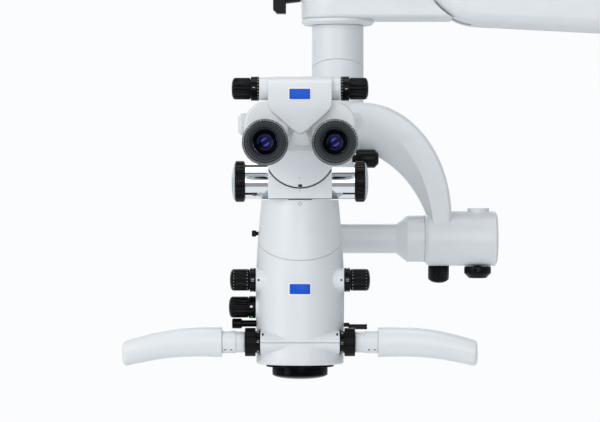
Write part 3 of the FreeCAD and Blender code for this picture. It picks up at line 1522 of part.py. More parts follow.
def make_cradle():
    """The lug on the head, the tilting cradle on it, and its clamp wheels."""
    axis = size.cradle_axis_height
    half = size.lug_half_width
    y_limits = (head_y - size.lug_radius, head_y + size.lug_radius)
    foot = block("lug_foot", (head_x - half, head_x + half), y_limits,
                 (tilt_z + size.head_top, tilt_z + axis))
    eye = cylinder("lug_eye", size.lug_radius, half * 2, at_head(-half, 0, axis), TO_RIGHT)
    gap = size.running_gap
    bore = cylinder("lug_bore", size.tilt_shaft_radius + gap, half * 2, at_head(-half, 0, axis),
                    TO_RIGHT)
    keep(cut("tilt_lug", fused("lug_whole", foot, eye), bore))

    wide = size.cradle_half_width
    roll = cylinder("cradle_roll", size.cradle_radius, wide * 2, at_head(-wide, 0, axis), TO_RIGHT)
    chin = size.head_top + size.neck_seam - axis
    neck = padded("cradle_neck", [
        (-size.cradle_front, chin),
        (0, chin),
        (size.cradle_back, size.cradle_back_rise),
        (-size.cradle_top_front, size.cradle_top),
        (-size.cradle_front, size.cradle_top),
    ], "YZ_Plane", wide * 2, at_head(0, 0, axis))
    slot_half = half + size.seat_gap
    swing = size.lug_radius + size.lug_swing
    slot = block("cradle_slot", (head_x - slot_half, head_x + slot_half),
                 (head_y - swing, head_y + size.cradle_front),
                 (tilt_z + axis - size.cradle_radius * 2, tilt_z + axis))
    slot_back = block("cradle_slot_back", (head_x - slot_half, head_x + slot_half),
                      (head_y, head_y + size.cradle_front),
                      (tilt_z + axis - size.cradle_radius, tilt_z + axis + size.lug_radius))
    slot_round = cylinder("cradle_slot_round", size.lug_radius + size.seat_gap, slot_half * 2,
                          at_head(-slot_half, 0, axis), TO_RIGHT)
    shaft_bore = cylinder("cradle_bore", size.tilt_shaft_radius + gap, wide * 2,
                          at_head(-wide, 0, axis), TO_RIGHT)
    spigot_bore = cylinder("cradle_spigot_bore", size.pendulum_spigot_radius + gap,
                           size.pendulum_spigot_length + size.seat_gap,
                           at_head(0, size.cradle_front - size.pendulum_spigot_length
                                   - size.seat_gap, size.pendulum_height), TO_FRONT)
    floor = size.cradle_front - size.pendulum_depth
    pocket = cylinder("cradle_pocket", size.pendulum_radius + size.pendulum_gap,
                      size.pendulum_depth, at_head(0, floor, size.pendulum_height), TO_FRONT)
    pocket_top = block("cradle_pocket_top", (head_x - wide, head_x + wide),
                       (head_y - size.cradle_front, head_y - floor),
                       (tilt_z + size.pendulum_height, tilt_z + axis + size.cradle_top))
    keep(cut("cradle", fused("cradle_whole", roll, neck), slot, slot_back, slot_round, shaft_bore,
             spigot_bore, pocket, pocket_top))

    barrels = [turned("tilt_barrel_" + kind, [
        (size.tilt_shaft_radius + gap, wide),
        (size.barrel_radius, wide),
        (size.barrel_radius, size.barrel_end),
        (size.tilt_shaft_radius + gap, size.barrel_end),
    ], at_head(0, 0, axis), outward(side)) for kind, side in SIDES]
    keep(fused("chrome_barrels", *barrels))

    start = size.barrel_end + size.seat_gap
    wheels = []
    for kind, side in SIDES:
        length = size.tilt_wheel_end - start
        wheel = turned("tilt_wheel_" + kind, [
            (0, 0),
            (size.tilt_wheel_radius, 0),
            (size.tilt_wheel_radius, length),
            (size.tilt_wheel_crown_radius, length),
            (size.tilt_wheel_crown_radius - size.tilt_wheel_crown, length + size.tilt_wheel_crown),
            (0, length + size.tilt_wheel_crown),
        ], at_head(start * side, 0, axis), outward(side))
        wheels.append(flute(wheel, "tilt_wheel_" + kind, size.tilt_wheel_radius
                            + size.flute_radius / 2, size.flute_radius, size.tilt_flute_count))
    shaft = side_cylinder("tilt_shaft", size.tilt_shaft_radius, -start, start, 0, axis, 1)
    keep(fused("tilt_knobs", *wheels, shaft))


def make_pendulum():
    """The round pendulum disc in front of the cradle, with the hinge bearing above it."""
    back = size.cradle_front - size.pendulum_depth + size.seat_gap * 2
    front = size.cradle_front
    disc = turned("pendulum_disc", [
        (0, size.cradle_front - size.pendulum_spigot_length),
        (size.pendulum_spigot_radius, size.cradle_front - size.pendulum_spigot_length),
        (size.pendulum_spigot_radius, back),
        (size.pendulum_radius, back),
        (size.pendulum_radius, front - size.pendulum_chamfer),
        (size.pendulum_radius - size.pendulum_chamfer, front),
        (0, front),
    ], at_head(0, 0, size.pendulum_height), TO_FRONT)
    half = size.hinge_bearing_half
    tower = block("pendulum_tower", (head_x - half, head_x + half),
                  (head_y - size.hinge_forward, head_y - back),
                  (tilt_z + size.pendulum_height, tilt_z + size.hinge_height))
    bearing = cylinder("pendulum_bearing", size.hinge_bearing_radius, half * 2,
                       at_head(-half, size.hinge_forward, size.hinge_height), TO_RIGHT)
    bore = cylinder("pendulum_bore", size.hinge_journal_radius + size.running_gap, half * 2,
                    at_head(-half, size.hinge_forward, size.hinge_height), TO_RIGHT)
    keep(cut("pendulum_base", fused("pendulum_whole", disc, tower, bearing), bore))


# Binocular

def make_bridge():
    """The hinge barrel, the bridge that carries the eyepieces, and its front plate."""
    at = at_head(0, size.hinge_forward, size.hinge_height)
    half = size.hinge_bearing_half + size.seat_gap
    far = size.hinge_half_length
    chamfer = size.hinge_chamfer
    keep(turned("hinge_barrel", [
        (0, -far),
        (size.hinge_radius - chamfer, -far),
        (size.hinge_radius, chamfer - far),
        (size.hinge_radius, -half),
        (size.hinge_journal_radius, -half),
        (size.hinge_journal_radius, half),
        (size.hinge_radius, half),
        (size.hinge_radius, far - chamfer),
        (size.hinge_radius - chamfer, far),
        (0, far),
    ], at, TO_RIGHT))

    wide = size.bridge_half_width
    across = (head_x - wide, head_x + wide)
    web = block("bridge_web", across, (head_y - size.web_front, head_y - size.web_back),
                (tilt_z + size.web_bottom, tilt_z + barrel_height))
    rail = block("bridge_rail", across, (head_y - size.rail_front, head_y - size.web_back),
                 (tilt_z + size.rail_bottom, tilt_z + size.rail_top))
    top = block("bridge_top", across, (head_y - size.barrel_forward, head_y - size.web_back),
                (tilt_z + barrel_height - size.control_shaft_radius,
                 tilt_z + barrel_height + size.control_shaft_radius))
    sleeve = side_cylinder("bridge_sleeve", size.sleeve_radius, -size.sleeve_end, size.sleeve_end,
                           size.barrel_forward, barrel_height, 1)
    high = size.cheek_half_height
    cheeks = [block("bridge_cheek_" + kind,
                    (head_x - wide, head_x - half) if side < 0 else (head_x + half, head_x + wide),
                    (head_y - size.web_back - size.cheek_lap, head_y - size.hinge_forward),
                    (tilt_z + size.hinge_height - high, tilt_z + size.hinge_height + high))
              for kind, side in SIDES]
    barrel_seat = cylinder("bridge_seat", size.hinge_radius, far * 2,
                           at_head(-far, size.hinge_forward, size.hinge_height), TO_RIGHT)
    shaft_bore = side_cylinder("bridge_bore", size.control_shaft_radius + size.running_gap,
                               -size.sleeve_end, size.sleeve_end, size.barrel_forward,
                               barrel_height, 1)
    keep(cut("bridge_body", fused("bridge_whole", web, rail, top, sleeve, *cheeks), barrel_seat,
             shaft_bore))

    top_edge = barrel_height + size.plate_cover
    right = [
        (size.plate_half_width, top_edge),
        (size.plate_half_width, barrel_height - size.plate_shoulder_drop),
        (size.plate_corner_side, barrel_height - size.plate_corner_drop),
        (size.plate_tip_side, barrel_height - size.plate_tip_shoulder_drop),
    ]
    left = [(-across_size, up) for across_size, up in reversed(right)]
    tip = [(as_size(0), barrel_height - size.plate_tip_drop)]
    depth = size.plate_front - size.plate_back
    plate = padded("plate_sheet", right + tip + left, "XZ_Plane", depth,
                   at_head(0, (size.plate_back + size.plate_front) / 2, 0))
    hood_width = size.plate_half_width
    hood = block("plate_hood", (head_x - hood_width, head_x + hood_width),
                 (head_y - size.plate_back, head_y - size.barrel_forward),
                 (tilt_z + barrel_height, tilt_z + top_edge))
    room = side_cylinder("plate_room", size.sleeve_radius, -size.sleeve_end, size.sleeve_end,
                         size.barrel_forward, barrel_height, 1)
    shield_top = barrel_height - size.plate_tip_shoulder_drop
    shield_bottom = barrel_height - size.shield_bottom_drop
    shield = padded("plate_shield", [
        (size.shield_half_top, shield_top + size.shield_half_top),
        (size.shield_half_bottom, shield_bottom),
        (-size.shield_half_bottom, shield_bottom),
        (-size.shield_half_top, shield_top + size.shield_half_top),
    ], "XZ_Plane", size.shield_thick, at_head(0, size.plate_back + size.shield_thick / 2, 0))
    keep(cut("front_plate", fused("plate_whole", plate, hood, shield), room))


def make_pd_knobs():
    """The two knobs that set the distance between the eyes, on one shaft."""
    knobs = [fluted_knob("pd_grip_" + kind,
                         dial(size.pd_dial_radius, size.pd_dial_end - size.pd_dial_start),
                         size.pd_knob_radius, size.pd_knob_end - size.pd_dial_end,
                         at_head(size.pd_dial_end * side, size.barrel_forward,
                                 barrel_height), outward(side))
             for kind, side in SIDES]
    shaft = side_cylinder("pd_shaft", size.control_shaft_radius, -size.pd_dial_end,
                          size.pd_dial_end, size.barrel_forward, barrel_height, 1)
    keep(fused("pd_knobs", *knobs, shaft))


def make_prism_housing(kind, side):
    """One prism housing: two rounds joined by straight sides, slotted for the rail."""
    depth = size.prism_front - size.prism_back
    lower = cylinder("prism_lower_" + kind, size.prism_lower_radius, depth,
                     at_head(size.eye_side * side, size.prism_back, size.eye_height), TO_FRONT)
    upper = cylinder("prism_upper_" + kind, size.prism_upper_radius, depth,
                     at_head(size.prism_upper_side * side, size.prism_back,
                             prism_upper_height), TO_FRONT)
    eye = size.eye_side
    radius = size.prism_lower_radius
    top_eye = size.prism_upper_side
    top_radius = size.prism_upper_radius
    sides = padded("prism_sides_" + kind, [
        ((eye - radius) * side, size.eye_height),
        ((eye + radius) * side, size.eye_height),
        ((top_eye + top_radius) * side, prism_upper_height),
        ((top_eye - top_radius) * side, prism_upper_height),
    ], "XZ_Plane", depth, at_head(0, (size.prism_back + size.prism_front) / 2, 0))
    front = (head_y - size.prism_front).number
    soft = softened("prism_soft_" + kind, fused("prism_form_" + kind, lower, upper, sides),
                    size.prism_soft_edge, lambda edge: abs(edge.BoundBox.YMax - front) < 0.01)
    reach = eye + radius * 2
    limits = (head_x - reach, head_x) if side < 0 else (head_x, head_x + reach)
    gap = size.seat_gap
    slot = block("prism_slot_" + kind, limits,
                 (head_y - size.rail_front - gap, head_y - size.prism_back + gap),
                 (tilt_z + size.rail_bottom - gap, tilt_z + size.rail_top + gap))
    bore = cylinder("prism_bore_" + kind, size.eyepiece_bore, depth,
                    at_head(eye * side, size.prism_back, size.eye_height), TO_FRONT)
    keep(cut("prism_housing_" + kind, soft, slot, bore))


def make_eyepiece(kind, side):
    """One eyepiece: barrel, dioptre ring, rubber eyecup and eye lens."""
    at = at_head(size.eye_side * side, 0, size.eye_height)
    gap = size.running_gap
    keep(turned("eyepiece_barrel_" + kind, [
        (size.lens_bore, size.eyepiece_spigot_back),
        (size.eyepiece_bore, size.eyepiece_spigot_back),
        (size.eyepiece_bore, size.eyepiece_flange_back),
        (size.eyepiece_flange_radius, size.eyepiece_flange_back),
        (size.eyepiece_flange_radius, size.eyepiece_flange_front),
        (size.eyepiece_tube_radius, size.eyepiece_flange_front),
        (size.eyepiece_tube_radius, size.eyepiece_tube_front),
        (size.lens_bore, size.eyepiece_tube_front),
    ], at, TO_FRONT))
    start = size.eyepiece_flange_front + size.seat_gap
    front = size.eyepiece_tube_front - start
    ring = turned("dioptre_ring_" + kind, [
        (size.eyepiece_tube_radius + gap, 0),
        (size.dioptre_radius, 0),
        (size.dioptre_radius, front - size.dioptre_bevel_length),
        (size.dioptre_radius - size.dioptre_bevel, front),
        (size.eyepiece_tube_radius + gap, front),
    ], at_head(size.eye_side * side, start, size.eye_height), TO_FRONT)
    keep(flute(ring, "dioptre_ring_" + kind, size.dioptre_radius + size.dioptre_flute_radius / 2,
               size.dioptre_flute_radius, size.dioptre_flute_count))
    cup_end = size.eyecup_start + size.eyecup_length
    keep(turned("eyecup_" + kind, [
        (size.eyecup_bore, size.eyecup_start),
        (size.eyecup_radius, size.eyecup_start),
        (size.eyecup_front_radius, cup_end),
        (size.eyecup_mouth, cup_end),
    ], at, TO_FRONT))
    keep(turned("eye_lens_" + kind, [
        (0, size.lens_seat),
        (size.lens_bore - gap, size.lens_seat),
        (size.lens_bore - gap, size.lens_seat + size.lens_height / 2),
        (size.lens_bore / 2, size.lens_seat + size.lens_height - size.seat_gap),
        (0, size.lens_seat + size.lens_height),
    ], at, TO_FRONT))


def make_binocular():
    """Bridge, knobs, prism housings and eyepieces."""
    make_bridge()
    make_pd_knobs()
    for kind, side in SIDES:
        make_prism_housing(kind, side)
        make_eyepiece(kind, side)


make_spindle()
make_rear_block()
make_end_block()
make_lock_lever()
make_arm_covers()
make_beam_and_link()
make_column()
make_carrier_arm()
make_coupling_parts()
make_tilt_axle()
make_head_shells()
make_bracket()
make_objective()
make_magnification()
make_side_controls()
make_focus_and_handles()
make_cradle()
make_pendulum()
make_binocular()
doc.recompute()

for item in doc.Objects:
    if {"Invalid", "Error"} & set(item.State):
        raise RuntimeError("%s could not be built" % item.Label)

os.makedirs("parts", exist_ok=True)
for item in nodes:
    if item.Shape.isNull() or not item.Shape.isValid():
        raise RuntimeError("%s has no valid shape" % item.Label)
    item.Shape.exportStep("parts/%s.step" % item.Label)
print("pieces:", len(nodes))
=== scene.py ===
"""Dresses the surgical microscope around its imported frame: finishes, fine pieces, studio and camera.

Lengths are written in millimetres and MM turns them into metres. Places on the optical head are
given as side (towards the user's right), forward (towards the user) and height, all from the point
where the optical axis passes the tilt axis. Left and right are the user's.
"""

import json
import logging
import math
from collections.abc import Callable
from dataclasses import dataclass, field
from enum import Enum
from functools import cache

import bmesh
import bpy
from mathutils import Matrix, Vector
from mathutils.bvhtree import BVHTree


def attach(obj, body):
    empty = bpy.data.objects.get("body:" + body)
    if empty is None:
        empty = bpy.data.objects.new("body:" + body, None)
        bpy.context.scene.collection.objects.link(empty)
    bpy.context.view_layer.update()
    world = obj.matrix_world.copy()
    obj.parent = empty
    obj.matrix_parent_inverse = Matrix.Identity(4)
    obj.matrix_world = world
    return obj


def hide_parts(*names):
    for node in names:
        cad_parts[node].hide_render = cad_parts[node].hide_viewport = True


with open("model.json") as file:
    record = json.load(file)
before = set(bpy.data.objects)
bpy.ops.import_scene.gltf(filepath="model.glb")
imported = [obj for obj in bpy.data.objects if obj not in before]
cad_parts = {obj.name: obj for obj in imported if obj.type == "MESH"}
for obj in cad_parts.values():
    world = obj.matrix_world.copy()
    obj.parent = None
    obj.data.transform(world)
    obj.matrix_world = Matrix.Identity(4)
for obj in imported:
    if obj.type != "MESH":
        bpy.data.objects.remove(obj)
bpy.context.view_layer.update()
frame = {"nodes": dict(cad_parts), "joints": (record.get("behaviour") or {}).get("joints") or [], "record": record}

MM = 0.001
FULL_TURN = 2 * math.pi
ROUND_STEPS = 96
SHARP_ANGLE = math.radians(32)
UP = Vector((0, 0, 1))
RIGHT = Vector((1, 0, 0))
TO_USER = Vector((0, -1, 0))

log = logging.getLogger("microscope")

Point = tuple[float, float]
Profile = list[Point]


class Side(Enum):
    """The user's left or right."""

    LEFT = -1
    RIGHT = 1

    @property
    def word(self) -> str:
        """The side as a plain word for names."""
        return self.name.lower()

    @property
    def outward(self) -> Vector:
        """The direction away from the optical axis."""
        return RIGHT * self.value


def joint_point(name: str) -> Vector:
    """Finds where a joint of the frame stands at rest.

    Args:
        name: The joint's name.

    Returns:
        The joint's point, in metres.
    """
    found = next(joint for joint in frame["joints"] if joint["name"] == name)
    return Vector(found["pos_m"])


def head_origin() -> Vector:
    """Works out where the optical axis passes the tilt axis.

    Returns:
        The point, in metres: plan place from the hood's seat and height from the tilt joint.
    """
    seat = next(mount for mount in frame["record"]["mounts"] if mount["name"] == "drape_ring_seat")
    tilt = joint_point("head_tilt")
    return Vector((seat["pos_m"][0], seat["pos_m"][1], tilt.z))


HEAD = head_origin()


def at_head(side: float, forward: float, height: float) -> Vector:
    """Turns a place on the head into a point of the frame.

    Args:
        side: Millimetres towards the user's right.
        forward: Millimetres towards the user.
        height: Millimetres above the tilt axis.

    Returns:
        The point, in metres.
    """
    return HEAD + Vector((side, -forward, height)) * MM


def linear(code: str, alpha: float = 1.0) -> tuple[float, float, float, float]:
    """Turns an sRGB hex colour into the linear values that a shader takes.

    Args:
        code: Six hex digits after a hash.
        alpha: The fourth value.

    Returns:
        Red, green, blue and alpha.
    """
    parts = [int(code[i:i + 2], 16) / 255 for i in (1, 3, 5)]
    red, green, blue = (p / 12.92 if p <= 0.04045 else ((p + 0.055) / 1.055) ** 2.4 for p in parts)
    return red, green, blue, alpha


def per_mm(size: float) -> float:
    """The texture scale at which one cell of a pattern measures size millimetres."""
    return 1 / (size * MM)


def add_node(tree: bpy.types.NodeTree, kind: str, values: dict | None = None,
             links: dict | None = None, **settings: object) -> bpy.types.Node:
    """Adds a node with its settings, input values and incoming links.

    Args:
        tree: The node tree.
        kind: The node's Blender type.
        values: Input values by input name or number.
        links: Output sockets by the input name or number that they feed.
        settings: Properties of the node itself.

    Returns:
        The new node.
    """
    node = tree.nodes.new(kind)
    for name, value in settings.items():
        setattr(node, name, value)
    for name, value in (values or {}).items():
        node.inputs[name].default_value = value
    for name, socket in (links or {}).items():
        tree.links.new(socket, node.inputs[name])
    return node


@dataclass(frozen=True)
class Finish:
    """A surface finish; a subclass adds the pattern of its own real material."""

    name: str
    colour: str
    shade: str
    roughness: float
    metallic: float = 0.0
    ior: float = 1.5
    gloss: float = 0.5

    def material(self) -> bpy.types.Material:
        """Builds the material once and gives it again afterwards.

        Returns:
            The Blender material.
        """
        known = bpy.data.materials.get(self.name)
        if known is not None:
            return known
        made = bpy.data.materials.new(self.name)
        made.use_nodes = True
        tree = made.node_tree
        tree.nodes.clear()
        shader = add_node(tree, "ShaderNodeBsdfPrincipled",
                          {"Base Color": linear(self.colour), "Roughness": self.roughness,
                           "Metallic": self.metallic, "IOR": self.ior,
                           "Specular IOR Level": self.gloss})
        add_node(tree, "ShaderNodeOutputMaterial", links={"Surface": shader.outputs[0]})
        place = add_node(tree, "ShaderNodeTexCoord")
        self.pattern(tree, shader, place.outputs["Object"])
        return made

    def pattern(self, tree: bpy.types.NodeTree, shader: bpy.types.Node,
                place: bpy.types.NodeSocket) -> None:
        """Adds the finish's own pattern.

        Args:
            tree: The node tree.
            shader: The Principled shader.
            place: Object coordinates, in metres.
        """
        self.vary(tree, shader, place, 40.0, 0.04)

    def vary(self, tree: bpy.types.NodeTree, shader: bpy.types.Node, place: bpy.types.NodeSocket,
             patch: float, swing: float) -> None:
        """Lets colour and roughness drift over the surface, as on any real finish.

        Args:
            tree: The node tree.
            shader: The Principled shader.
            place: Object coordinates, in metres.
            patch: Size of a patch, in millimetres.
            swing: How far the roughness goes each way.
        """
        cloud = add_node(tree, "ShaderNodeTexNoise", {"Scale": per_mm(patch), "Detail": 4.0},
                         {"Vector": place})
        tint = add_node(tree, "ShaderNodeMix", {6: linear(self.colour), 7: linear(self.shade)},
                        {0: cloud.outputs["Fac"]}, data_type="RGBA")
        rough = add_node(tree, "ShaderNodeMapRange",
                         {"To Min": max(self.roughness - swing, 0.0), "To Max": self.roughness + swing},
                         {"Value": cloud.outputs["Fac"]})
        tree.links.new(tint.outputs[2], shader.inputs["Base Color"])
        tree.links.new(rough.outputs["Result"], shader.inputs["Roughness"])

    def grain(self, tree: bpy.types.NodeTree, shader: bpy.types.Node, place: bpy.types.NodeSocket,
              size: float, depth: float, strength: float) -> None:
        """Adds a fine raised grain.

        Args:
            tree: The node tree.
            shader: The Principled shader.
            place: Coordinates, in metres.
            size: Size of one grain, in millimetres.
            depth: Height of the grain, in millimetres.
            strength: Share of that height that shows.
        """
        fine = add_node(tree, "ShaderNodeTexNoise", {"Scale": per_mm(size), "Detail": 3.0},
                        {"Vector": place})
        bump = add_node(tree, "ShaderNodeBump", {"Strength": strength, "Distance": depth * MM},
                        {"Height": fine.outputs["Fac"]})
        tree.links.new(bump.outputs["Normal"], shader.inputs["Normal"])


@dataclass(frozen=True)
class StovedEnamel(Finish):
    """White enamel stoved on cast aluminium: satin, with a faint orange peel about 2 mm wide."""

    def pattern(self, tree: bpy.types.NodeTree, shader: bpy.types.Node,
                place: bpy.types.NodeSocket) -> None:
        """Adds slow colour drift, an orange peel and the clear top of the enamel."""
        self.vary(tree, shader, place, 70.0, 0.03)
        self.grain(tree, shader, place, 2.2, 0.02, 0.25)
        shader.inputs["Coat Weight"].default_value = 0.12
        shader.inputs["Coat Roughness"].default_value = 0.22


@dataclass(frozen=True)
class MouldedShell(Finish):
    """White ABS from a polished mould: smoother than the enamel, with a very fine grain."""

    def pattern(self, tree: bpy.types.NodeTree, shader: bpy.types.Node,
                place: bpy.types.NodeSocket) -> None:
        """Adds slow drift and the mould's fine grain, drawn at 0.6 mm so that it can show."""
        self.vary(tree, shader, place, 90.0, 0.03)
        self.grain(tree, shader, place, 0.6, 0.008, 0.3)
        shader.inputs["Subsurface Weight"].default_value = 0.04
        shader.inputs["Subsurface Scale"].default_value = 0.003


@dataclass(frozen=True)
class KnobNylon(Finish):
    """Black glass-filled nylon: a soft sheen that breaks up on a fine grain."""

    def pattern(self, tree: bpy.types.NodeTree, shader: bpy.types.Node,
                place: bpy.types.NodeSocket) -> None:
        """Adds handling shine in patches and a 0.5 mm grain."""
        self.vary(tree, shader, place, 9.0, 0.07)
        self.grain(tree, shader, place, 0.5, 0.03, 0.35)


@dataclass(frozen=True)
class EyeRubber(Finish):
    """Moulded silicone rubber: matt, with a dusty sheen at grazing angles."""

    def pattern(self, tree: bpy.types.NodeTree, shader: bpy.types.Node,
                place: bpy.types.NodeSocket) -> None:
        """Adds a powdery drift, a 0.4 mm grain and the sheen."""
        self.vary(tree, shader, place, 6.0, 0.06)
        self.grain(tree, shader, place, 0.4, 0.03, 0.5)
        shader.inputs["Sheen Weight"].default_value = 0.08
        shader.inputs["Sheen Roughness"].default_value = 0.45


@dataclass(frozen=True)
class TurnedMetal(Finish):
    """Metal from a lathe: fine tool lines across the axis, drawn 0.35 mm apart so that they show."""

    line: float = 0.35
    depth: float = 0.004
    along: str = "X"

    def pattern(self, tree: bpy.types.NodeTree, shader: bpy.types.Node,
                place: bpy.types.NodeSocket) -> None:
        """Adds slow drift and tool lines along the named axis."""
        self.vary(tree, shader, place, 14.0, 0.05)
        lines = add_node(tree, "ShaderNodeTexWave",
                         {"Scale": per_mm(self.line) / FULL_TURN, "Distortion": 0.6, "Detail": 2.0},
                         {"Vector": place}, wave_type="BANDS", bands_direction=self.along)
        bump = add_node(tree, "ShaderNodeBump", {"Strength": 0.35, "Distance": self.depth * MM},
                        {"Height": lines.outputs["Fac"]})
        tree.links.new(bump.outputs["Normal"], shader.inputs["Normal"])


@dataclass(frozen=True)
class PolishedChrome(Finish):
    """Bright nickel-chrome plate: a mirror with hair-fine polishing haze."""

    def pattern(self, tree: bpy.types.NodeTree, shader: bpy.types.Node,
                place: bpy.types.NodeSocket) -> None:
        """Adds a haze that drifts over 12 mm patches."""
        self.vary(tree, shader, place, 12.0, 0.025)


@dataclass(frozen=True)
class CoatedLens(Finish):
    """Crown glass with a violet anti-reflection coating over a dark barrel."""

    tint: str = "#5A5CE0"

    def pattern(self, tree: bpy.types.NodeTree, shader: bpy.types.Node,
                place: bpy.types.NodeSocket) -> None:
        """Tints the reflection and lets the coating's depth drift a little."""
        self.vary(tree, shader, place, 5.0, 0.015)
        shader.inputs["Specular Tint"].default_value = linear(self.tint)
        shader.inputs["Specular IOR Level"].default_value = 0.9


@dataclass(frozen=True)
class EyeLensCoating(Finish):
    """A deep eye lens whose colour carries painted reflections: violet at its middle, parted by a dark slanting
    band, and grey rings.
    """

    middle: tuple[float, float] = (0.0, 0.0)
    radius: float = 8.8
    band: float = 1.8
    edge: float = 3.0
    lean: float = 0.65

    def pattern(self, tree: bpy.types.NodeTree, shader: bpy.types.Node,
                place: bpy.types.NodeSocket) -> None:
        """Paints reflections into the glass's colour: rings, and a dark band near a line that rises to the right.
        """
        parts = add_node(tree, "ShaderNodeSeparateXYZ", links={0: place})
        side = add_node(tree, "ShaderNodeMath", {1: self.middle[0]}, {0: parts.outputs["X"]},
                        operation="SUBTRACT")
        rise = add_node(tree, "ShaderNodeMath", {1: self.middle[1]}, {0: parts.outputs["Z"]},
                        operation="SUBTRACT")
        lean = add_node(tree, "ShaderNodeMath", {1: self.lean}, {0: side.outputs[0]},
                        operation="MULTIPLY")
        across = add_node(tree, "ShaderNodeMath", links={0: rise.outputs[0], 1: lean.outputs[0]},
                          operation="SUBTRACT")
        away = add_node(tree, "ShaderNodeMath", links={0: across.outputs[0]}, operation="ABSOLUTE")
        clear = add_node(tree, "ShaderNodeMapRange",
                         {"From Min": self.band * MM, "From Max": self.edge * MM},
                         {"Value": away.outputs[0]})
        flat = add_node(tree, "ShaderNodeCombineXYZ",
                        links={"X": side.outputs[0], "Y": rise.outputs[0]})
        reach = add_node(tree, "ShaderNodeVectorMath", links={0: flat.outputs[0]},
                         operation="LENGTH")
        share = add_node(tree, "ShaderNodeMath", {1: self.radius * MM},
                         {0: reach.outputs["Value"]}, operation="DIVIDE")
        ramp = add_node(tree, "ShaderNodeValToRGB", links={0: share.outputs[0]})
        # The ring colours are painted reflections of the room: the violet glow, dark and grey reflected rings, and
        # the dark edge.
        rings = ((0.0, self.shade), (0.36, self.shade), (0.50, "#1C1E58"), (0.60, "#07070C"),
                 (0.68, "#1E1E24"), (0.84, "#3A3B40"), (0.92, "#0E0E12"), (1.0, self.colour))
        bands = ramp.color_ramp.elements
        for spot, _ in rings[1:-1]:
            bands.new(spot)
        for ring, (spot, code) in zip(bands, rings):
            ring.position = spot
            ring.color = linear(code)
        # The dark slanting band is a painted reflection, mixed in where the glass lies near the line.
        mixed = add_node(tree, "ShaderNodeMix", {6: linear(self.colour)},
                         {0: clear.outputs["Result"], 7: ramp.outputs[0]}, data_type="RGBA")
        tree.links.new(mixed.outputs[2], shader.inputs["Base Color"])
        shader.inputs["Specular Tint"].default_value = linear("#8A8CF0")
        shader.inputs["Specular IOR Level"].default_value = 0.12


@dataclass(frozen=True)
class ClearGlass(Finish):
    """Optical flat with a faint coating: clear, with a trace of dust in the gloss."""

    def pattern(self, tree: bpy.types.NodeTree, shader: bpy.types.Node,
                place: bpy.types.NodeSocket) -> None:
        """Lets light through and roughens it very slightly in patches."""
        self.vary(tree, shader, place, 8.0, 0.008)
        shader.inputs["Transmission Weight"].default_value = 0.9


ENAMEL = StovedEnamel("stoved_enamel", "#E6EAEC", "#E1E6E9", 0.36)
SHELL = MouldedShell("moulded_abs_shell", "#E8ECEE", "#E3E8EB", 0.32, ior=1.53)
NYLON = KnobNylon("black_glass_filled_nylon", "#07090A", "#050607", 0.26, gloss=0.14)
RUBBER = EyeRubber("moulded_eye_rubber", "#272D31", "#212629", 0.55, gloss=0.25)
ANODISED = TurnedMetal("black_anodised_aluminium", "#050608", "#030405", 0.18, gloss=0.06, along="Z")
EYE_ANODISED = TurnedMetal("black_anodised_eyepiece", "#101315", "#0B0D0F", 0.34, gloss=0.3, along="Y")
BARE_STEEL = TurnedMetal("turned_steel", "#A9ADB1", "#989CA0", 0.30, metallic=1.0, line=0.5)
BRONZE = TurnedMetal("bearing_bronze", "#B98A4E", "#A67A43", 0.34, metallic=1.0, line=0.5)
CHROME = PolishedChrome("polished_chrome", "#E6EAED", "#DDE2E6", 0.06, metallic=1.0)
BLUE_RIM = CoatedLens("blue_coated_rim", "#03031C", "#060628", 0.2, ior=1.5, tint="#2A2CB0")
DARK_LENS = CoatedLens("objective_front_coating", "#030406", "#050609", 0.18, ior=1.2, tint="#5A6070")
FLAT_GLASS = ClearGlass("optical_flat", "#EEF2FF", "#E8EEFA", 0.02)
BAFFLE = KnobNylon("matt_baffle_black", "#060708", "#040505", 0.6, gloss=0.12)
# Partly the scale band's own satin grey and partly painted highlight on the eyepiece ring's black bevel.
GREY_BAND_AND_PAINTED_HIGHLIGHT = TurnedMetal("satin_grey_scale_band", "#5C656A", "#525A5F", 0.4, along="Y")
PAINTED_SCREW = StovedEnamel("painted_screw_head", "#D4DADE", "#CBD2D7", 0.34)
CAP_ENAMEL = StovedEnamel("pale_blue_grey_enamel", "#C3CED6", "#BAC6CF", 0.30)
PRINT_WHITE = Finish("printed_white", "#E9ECEC", "#DDE1E1", 0.5)
PRINT_GREEN = Finish("printed_green", "#2FCF5A", "#29BE51", 0.45)
PRINT_BLACK = Finish("printed_black", "#15171A", "#0E1012", 0.45)
PRINT_GREY = Finish("printed_grey", "#8E979C", "#838C91", 0.5)
PLATE_BLUE = MouldedShell("blue_plate_lacquer", "#005ADA", "#0054D0", 0.3, gloss=0.2)
PLATE_EDGE = MouldedShell("cream_plate_border", "#FDF6EC", "#F7EFE2", 0.4)

SLOT_FINISH = {
    "white_enamel": ENAMEL,
    "white_shell": SHELL,
    "black_plastic": NYLON,
    "black_metal": ANODISED,
    "steel": BARE_STEEL,
    "bright_chrome": CHROME,
    "bronze": BRONZE,
    "soft_rubber": RUBBER,
    "coated_glass": FLAT_GLASS,
}


def body_of(node: str) -> str:
    """Finds the body that a node moves with.

    Args:
        node: The node's name.

    Returns:
        The body's name.
    """
    bodies = frame["record"]["behaviour"]["bodies"]
    return next(name for name, nodes in bodies.items() if node in nodes)


def slot_of(node: str) -> str:
    """Finds the material slot that the record gives a node.

    Args:
        node: The node's name.

    Returns:
        The slot's name.
    """
    return next(part["material_slot"] for part in frame["record"]["subparts"] if part["node"] == node)


def circle(radius: float, steps: int = 24) -> Profile:
    """Draws a round outline.

    Args:
        radius: Its radius, in millimetres.
        steps: Points to a turn.

    Returns:
        The points.
    """
    turns = [FULL_TURN * step / steps for step in range(steps)]
    return [(radius * math.cos(turn), radius * math.sin(turn)) for turn in turns]


